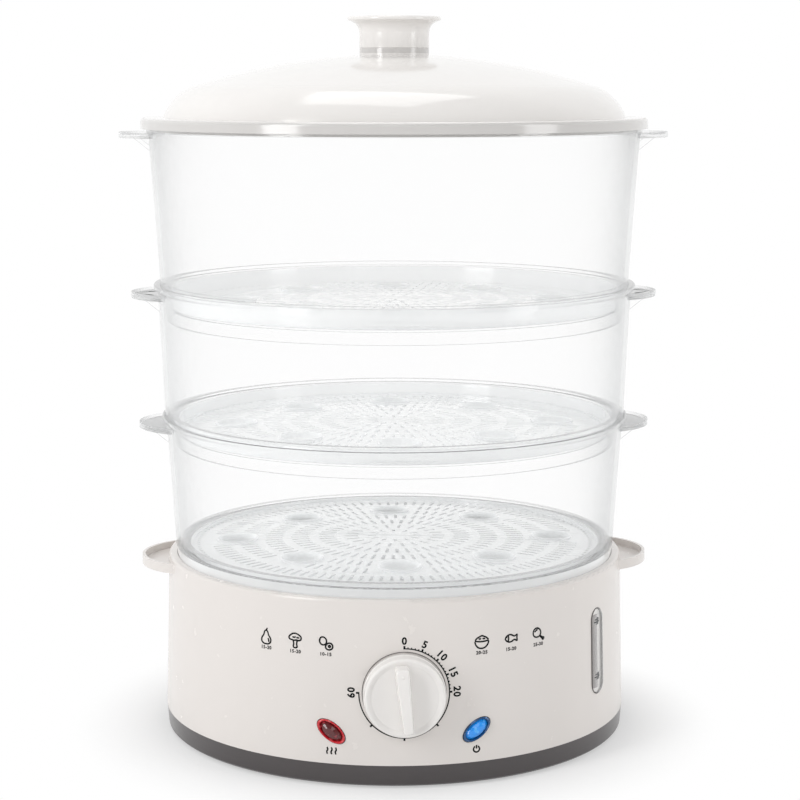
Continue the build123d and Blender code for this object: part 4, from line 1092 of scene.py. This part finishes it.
# Pictograms as strokes in millimetres about their own middle. True closes a stroke.
PICTOGRAMS = {
    "pear": (
        (True, ((0.0, 3.0), (0.9, 2.3), (1.1, 0.9), (2.3, -0.5), (2.5, -2.1), (1.3, -3.1), (0.0, -3.2),
                (-1.3, -3.1), (-2.5, -2.1), (-2.3, -0.5), (-1.1, 0.9), (-0.9, 2.3))),
        (False, ((0.0, 2.6), (0.1, 3.3), (0.7, 3.8))),
        (False, ((0.9, -0.6), (1.5, -1.4), (1.3, -2.2))),
    ),
    "florets": (
        (True, ((-2.6, 0.4), (-3.1, 1.5), (-2.0, 2.5), (-0.9, 3.2), (0.6, 3.2), (1.7, 2.7), (2.9, 1.9),
                (2.9, 0.6), (1.8, 0.0), (0.6, 0.4), (-0.6, 0.0), (-1.7, 0.4))),
        (False, ((-0.9, 0.0), (-0.5, -1.4), (-1.1, -2.9), (0.2, -3.2), (1.1, -2.8), (0.6, -1.4), (1.0, 0.1))),
        (False, ((-1.2, 1.7), (-0.4, 1.1), (0.3, 1.8))),
        (False, ((0.7, 1.2), (1.4, 1.7), (1.9, 1.1))),
    ),
    "eggs": (
        (True, ((-2.9, 0.9), (-2.3, 2.6), (-0.9, 2.9), (0.4, 1.9), (0.5, 0.2), (-0.6, -0.8), (-2.1, -0.5))),
        (True, ((-0.2, -1.4), (0.7, 0.1), (2.3, 0.4), (3.3, -0.7), (3.1, -2.1), (1.8, -2.8), (0.4, -2.5))),
        (True, ((1.1, -1.2), (1.7, -0.6), (2.3, -1.1), (1.8, -1.8))),
    ),
    "rice": (
        (True, ((-3.3, 0.5), (-3.0, -1.0), (-1.9, -2.4), (-0.6, -2.9), (0.6, -2.9), (1.9, -2.4), (3.0, -1.0),
                (3.3, 0.5), (1.6, 0.15), (0.0, 0.05), (-1.6, 0.15))),
        (False, ((-3.1, 0.7), (-2.3, 1.8), (-1.0, 2.2), (0.0, 2.8), (1.1, 2.2), (2.3, 1.8), (3.1, 0.7))),
        (False, ((-1.4, 1.1), (-0.9, 1.5), (-0.4, 1.2))),
        (False, ((0.4, 1.5), (0.9, 1.1), (1.5, 1.4))),
    ),
    "fish": (
        (True, ((-3.2, 0.0), (-1.8, 1.5), (0.2, 1.7), (1.7, 0.5), (3.3, 1.7), (2.9, 0.0), (3.3, -1.7),
                (1.7, -0.5), (0.2, -1.7), (-1.8, -1.5))),
        (False, ((-1.5, 1.3), (-0.9, 0.0), (-1.5, -1.3))),
        (False, ((-2.3, 0.35), (-2.15, 0.5), (-2.0, 0.35))),
    ),
    "drumstick": (
        (True, ((-3.0, 0.6), (-2.2, 2.3), (-0.3, 2.7), (1.3, 1.5), (1.5, -0.2), (0.6, -1.3), (-0.9, -1.6),
                (-2.4, -1.0))),
        (False, ((1.2, -1.0), (2.3, -2.0), (3.3, -1.9), (3.1, -2.7), (2.6, -3.1), (2.3, -2.4), (1.0, -1.3))),
        (False, ((-2.0, 0.8), (-1.4, 1.6), (-0.4, 1.8))),
    ),
    "heat": (
        (False, ((-1.7, -1.5), (-2.3, -0.5), (-1.3, 0.5), (-1.9, 1.5))),
        (False, ((0.2, -1.5), (-0.4, -0.5), (0.6, 0.5), (0.0, 1.5))),
        (False, ((2.1, -1.5), (1.5, -0.5), (2.5, 0.5), (1.9, 1.5))),
    ),
    "mains": (
        (False, ((0.75, 1.15), (1.45, 0.35), (1.35, -0.75), (0.5, -1.45), (-0.5, -1.45), (-1.35, -0.75),
                 (-1.45, 0.35), (-0.75, 1.15))),
        (False, ((0.0, 1.7), (0.0, 0.9), (0.0, 0.1))),
    ),
}
DRAWING_SIZE = 1.12
# Each food's place along the wall and its minutes
FOODS = (
    ("pear", -70.2, "15-20"), ("florets", -54.0, "15-20"), ("eggs", -38.2, "10-15"),
    ("rice", 38.2, "20-25"), ("fish", 54.0, "15-20"), ("drumstick", 70.2, "25-30"),
)
# Places above and below the dial's middle, and the scale round it, in millimetres and degrees a minute
FOOD_RISE = 23.3
FOOD_TIME_RISE = 18.0
SIGN_RISE = -29.3
SIGN_SPREAD = 35.6
SCALE_RADIUS = 21.6
NUMBER_RADIUS = 25.5
MINUTE_TURN = 4.5


class PrintOperator(Operator):
    """Print the minute scale, the food pictograms and the lamp symbols on the wall."""

    bl_idname = "steamer.print"
    bl_label = "Printed panel"

    def execute(self, context):
        flat = [self.make_arc()]
        for minute in (*range(21), 30, 40, 50, 60):
            flat.append(self.make_tick(minute, *((1.05, 0.55) if minute % 5 else (1.7, 0.95))))
        for minute in (0, 5, 10, 15, 20, 60):
            middle = polar(NUMBER_RADIUS, 90.0 - MINUTE_TURN * minute)
            flat.append(self.make_number(str(minute), middle, 4.9, -MINUTE_TURN * minute))
        for name, along, minutes in FOODS:
            flat.append(self.make_drawing(name, (along, FOOD_RISE)))
            flat.append(self.make_number(minutes, (along, FOOD_TIME_RISE), 2.3, 0.0))
        flat.append(self.make_drawing("heat", (-SIGN_SPREAD, SIGN_RISE)))
        flat.append(self.make_drawing("mains", (SIGN_SPREAD, SIGN_RISE)))
        for piece in flat:
            painted(piece, "ink")
        # Painted shadow: a thin grey ring on the wall round the dial, where the shadow of the space behind
        # the dial falls
        seat = turned("dial_gap_shadow", [(20.1, 0.0), (20.45, 0.0), (20.45, 0.1), (20.1, 0.1)], 128)
        whole = joined("printed_panel", [painted(seat, "grey_line"), *flat])
        self.wrap(whole)
        placed(whole, "base", "black_plastic")
        return {"FINISHED"}

    def make_arc(self):
        """The line that the minutes are counted along: a long edge of a thin oblong, swept round."""
        inner, outer = SCALE_RADIUS, SCALE_RADIUS + sizes().ink_line / MM
        corners = ((inner, -0.02), (outer, -0.02), (outer, 0.02), (inner, 0.02))
        arc = wire("scale_arc", [(x * MM, y * MM, 0.0) for x, y in corners])
        moved(arc, spin(90.0))
        bpy.ops.object.mode_set(mode="EDIT")
        select_points(lambda p: p.x < 0)
        bpy.ops.mesh.delete(type="VERT")
        bpy.ops.mesh.select_all(action="SELECT")
        sweep = math.radians(60 * MINUTE_TURN)
        bpy.ops.mesh.spin(steps=180, angle=sweep, center=(0.0, 0.0, 0.0), axis=(0.0, 0.0, 1.0))
        leave_edit()
        return arc

    def make_tick(self, minute, long, wide):
        """A mark across the scale at a minute."""
        bpy.ops.object.select_all(action="DESELECT")
        bpy.ops.mesh.primitive_plane_add(size=1.0)
        size = Matrix.Diagonal((wide * MM, long * MM, 1.0, 1.0))
        place = spin(-MINUTE_TURN * minute) @ shift(0.0, SCALE_RADIUS + long / 2)
        return moved(bpy.context.active_object, place @ size)

    def make_number(self, text, middle, size, turn):
        """Flat figures about a middle, with a height in millimetres."""
        bpy.ops.object.select_all(action="DESELECT")
        bpy.ops.object.text_add()
        label = bpy.context.active_object
        label.data.body = text
        label.data.size = size * MM
        label.data.align_x = "CENTER"
        label.data.align_y = "CENTER"
        label.data.resolution_u = 3
        label.data.offset = 0.036 * size * MM
        label.data.space_character = 1.14
        bpy.ops.object.convert(target="MESH")
        return moved(bpy.context.active_object, shift(*middle) @ spin(turn))

    def make_drawing(self, name, middle):
        """A pictogram drawn with a pen and then flattened."""
        drawing = pen(name, PICTOGRAMS[name], 0.58 * sizes().ink_line / MM)
        return moved(drawing, shift(*middle) @ Matrix.Diagonal((DRAWING_SIZE, DRAWING_SIZE, 0.2, 1.0)))

    def wrap(self, whole):
        """Lay the flat print round the wall, a hair in front of it."""
        for point in whole.data.vertices:
            height = dial_centre.z + point.co.y
            radius = wall_radius(height) + 0.05 * MM + max(0.0, point.co.z)
            turn = point.co.x / wall_radius(height) - math.pi / 2
            point.co = (radius * math.cos(turn), radius * math.sin(turn), height)


OPERATORS = (
    StageOperator,
    FinishesOperator,
    BowlsOperator,
    FloorsOperator,
    DialOperator,
    KnobOperator,
    LampsOperator,
    GaugeOperator,
    PrintOperator,
)


class SteamerPanel(Panel):
    """Lists the steps that dress the steamer."""

    bl_idname = "VIEW3D_PT_steamer"
    bl_label = "Food steamer"
    bl_space_type = "VIEW_3D"
    bl_region_type = "UI"
    bl_category = "Steamer"

    def draw(self, context):
        for group in (context.scene.steamer_sizes, context.scene.steamer_colours):
            for name in group.bl_rna.properties.keys():
                if name not in ("rna_type", "name"):
                    self.layout.prop(group, name)
        for step in OPERATORS:
            self.layout.operator(step.bl_idname)


CLASSES = (SteamerSizes, SteamerColours, *OPERATORS, SteamerPanel)


def register():
    for kind in CLASSES:
        bpy.utils.register_class(kind)
    bpy.types.Scene.steamer_sizes = PointerProperty(type=SteamerSizes)
    bpy.types.Scene.steamer_colours = PointerProperty(type=SteamerColours)


def unregister():
    del bpy.types.Scene.steamer_colours
    del bpy.types.Scene.steamer_sizes
    for kind in reversed(CLASSES):
        bpy.utils.unregister_class(kind)


def main():
    register()
    for step in OPERATORS:
        group, name = step.bl_idname.split(".")
        getattr(getattr(bpy.ops, group), name)()


if __name__ == "__main__":
    main()
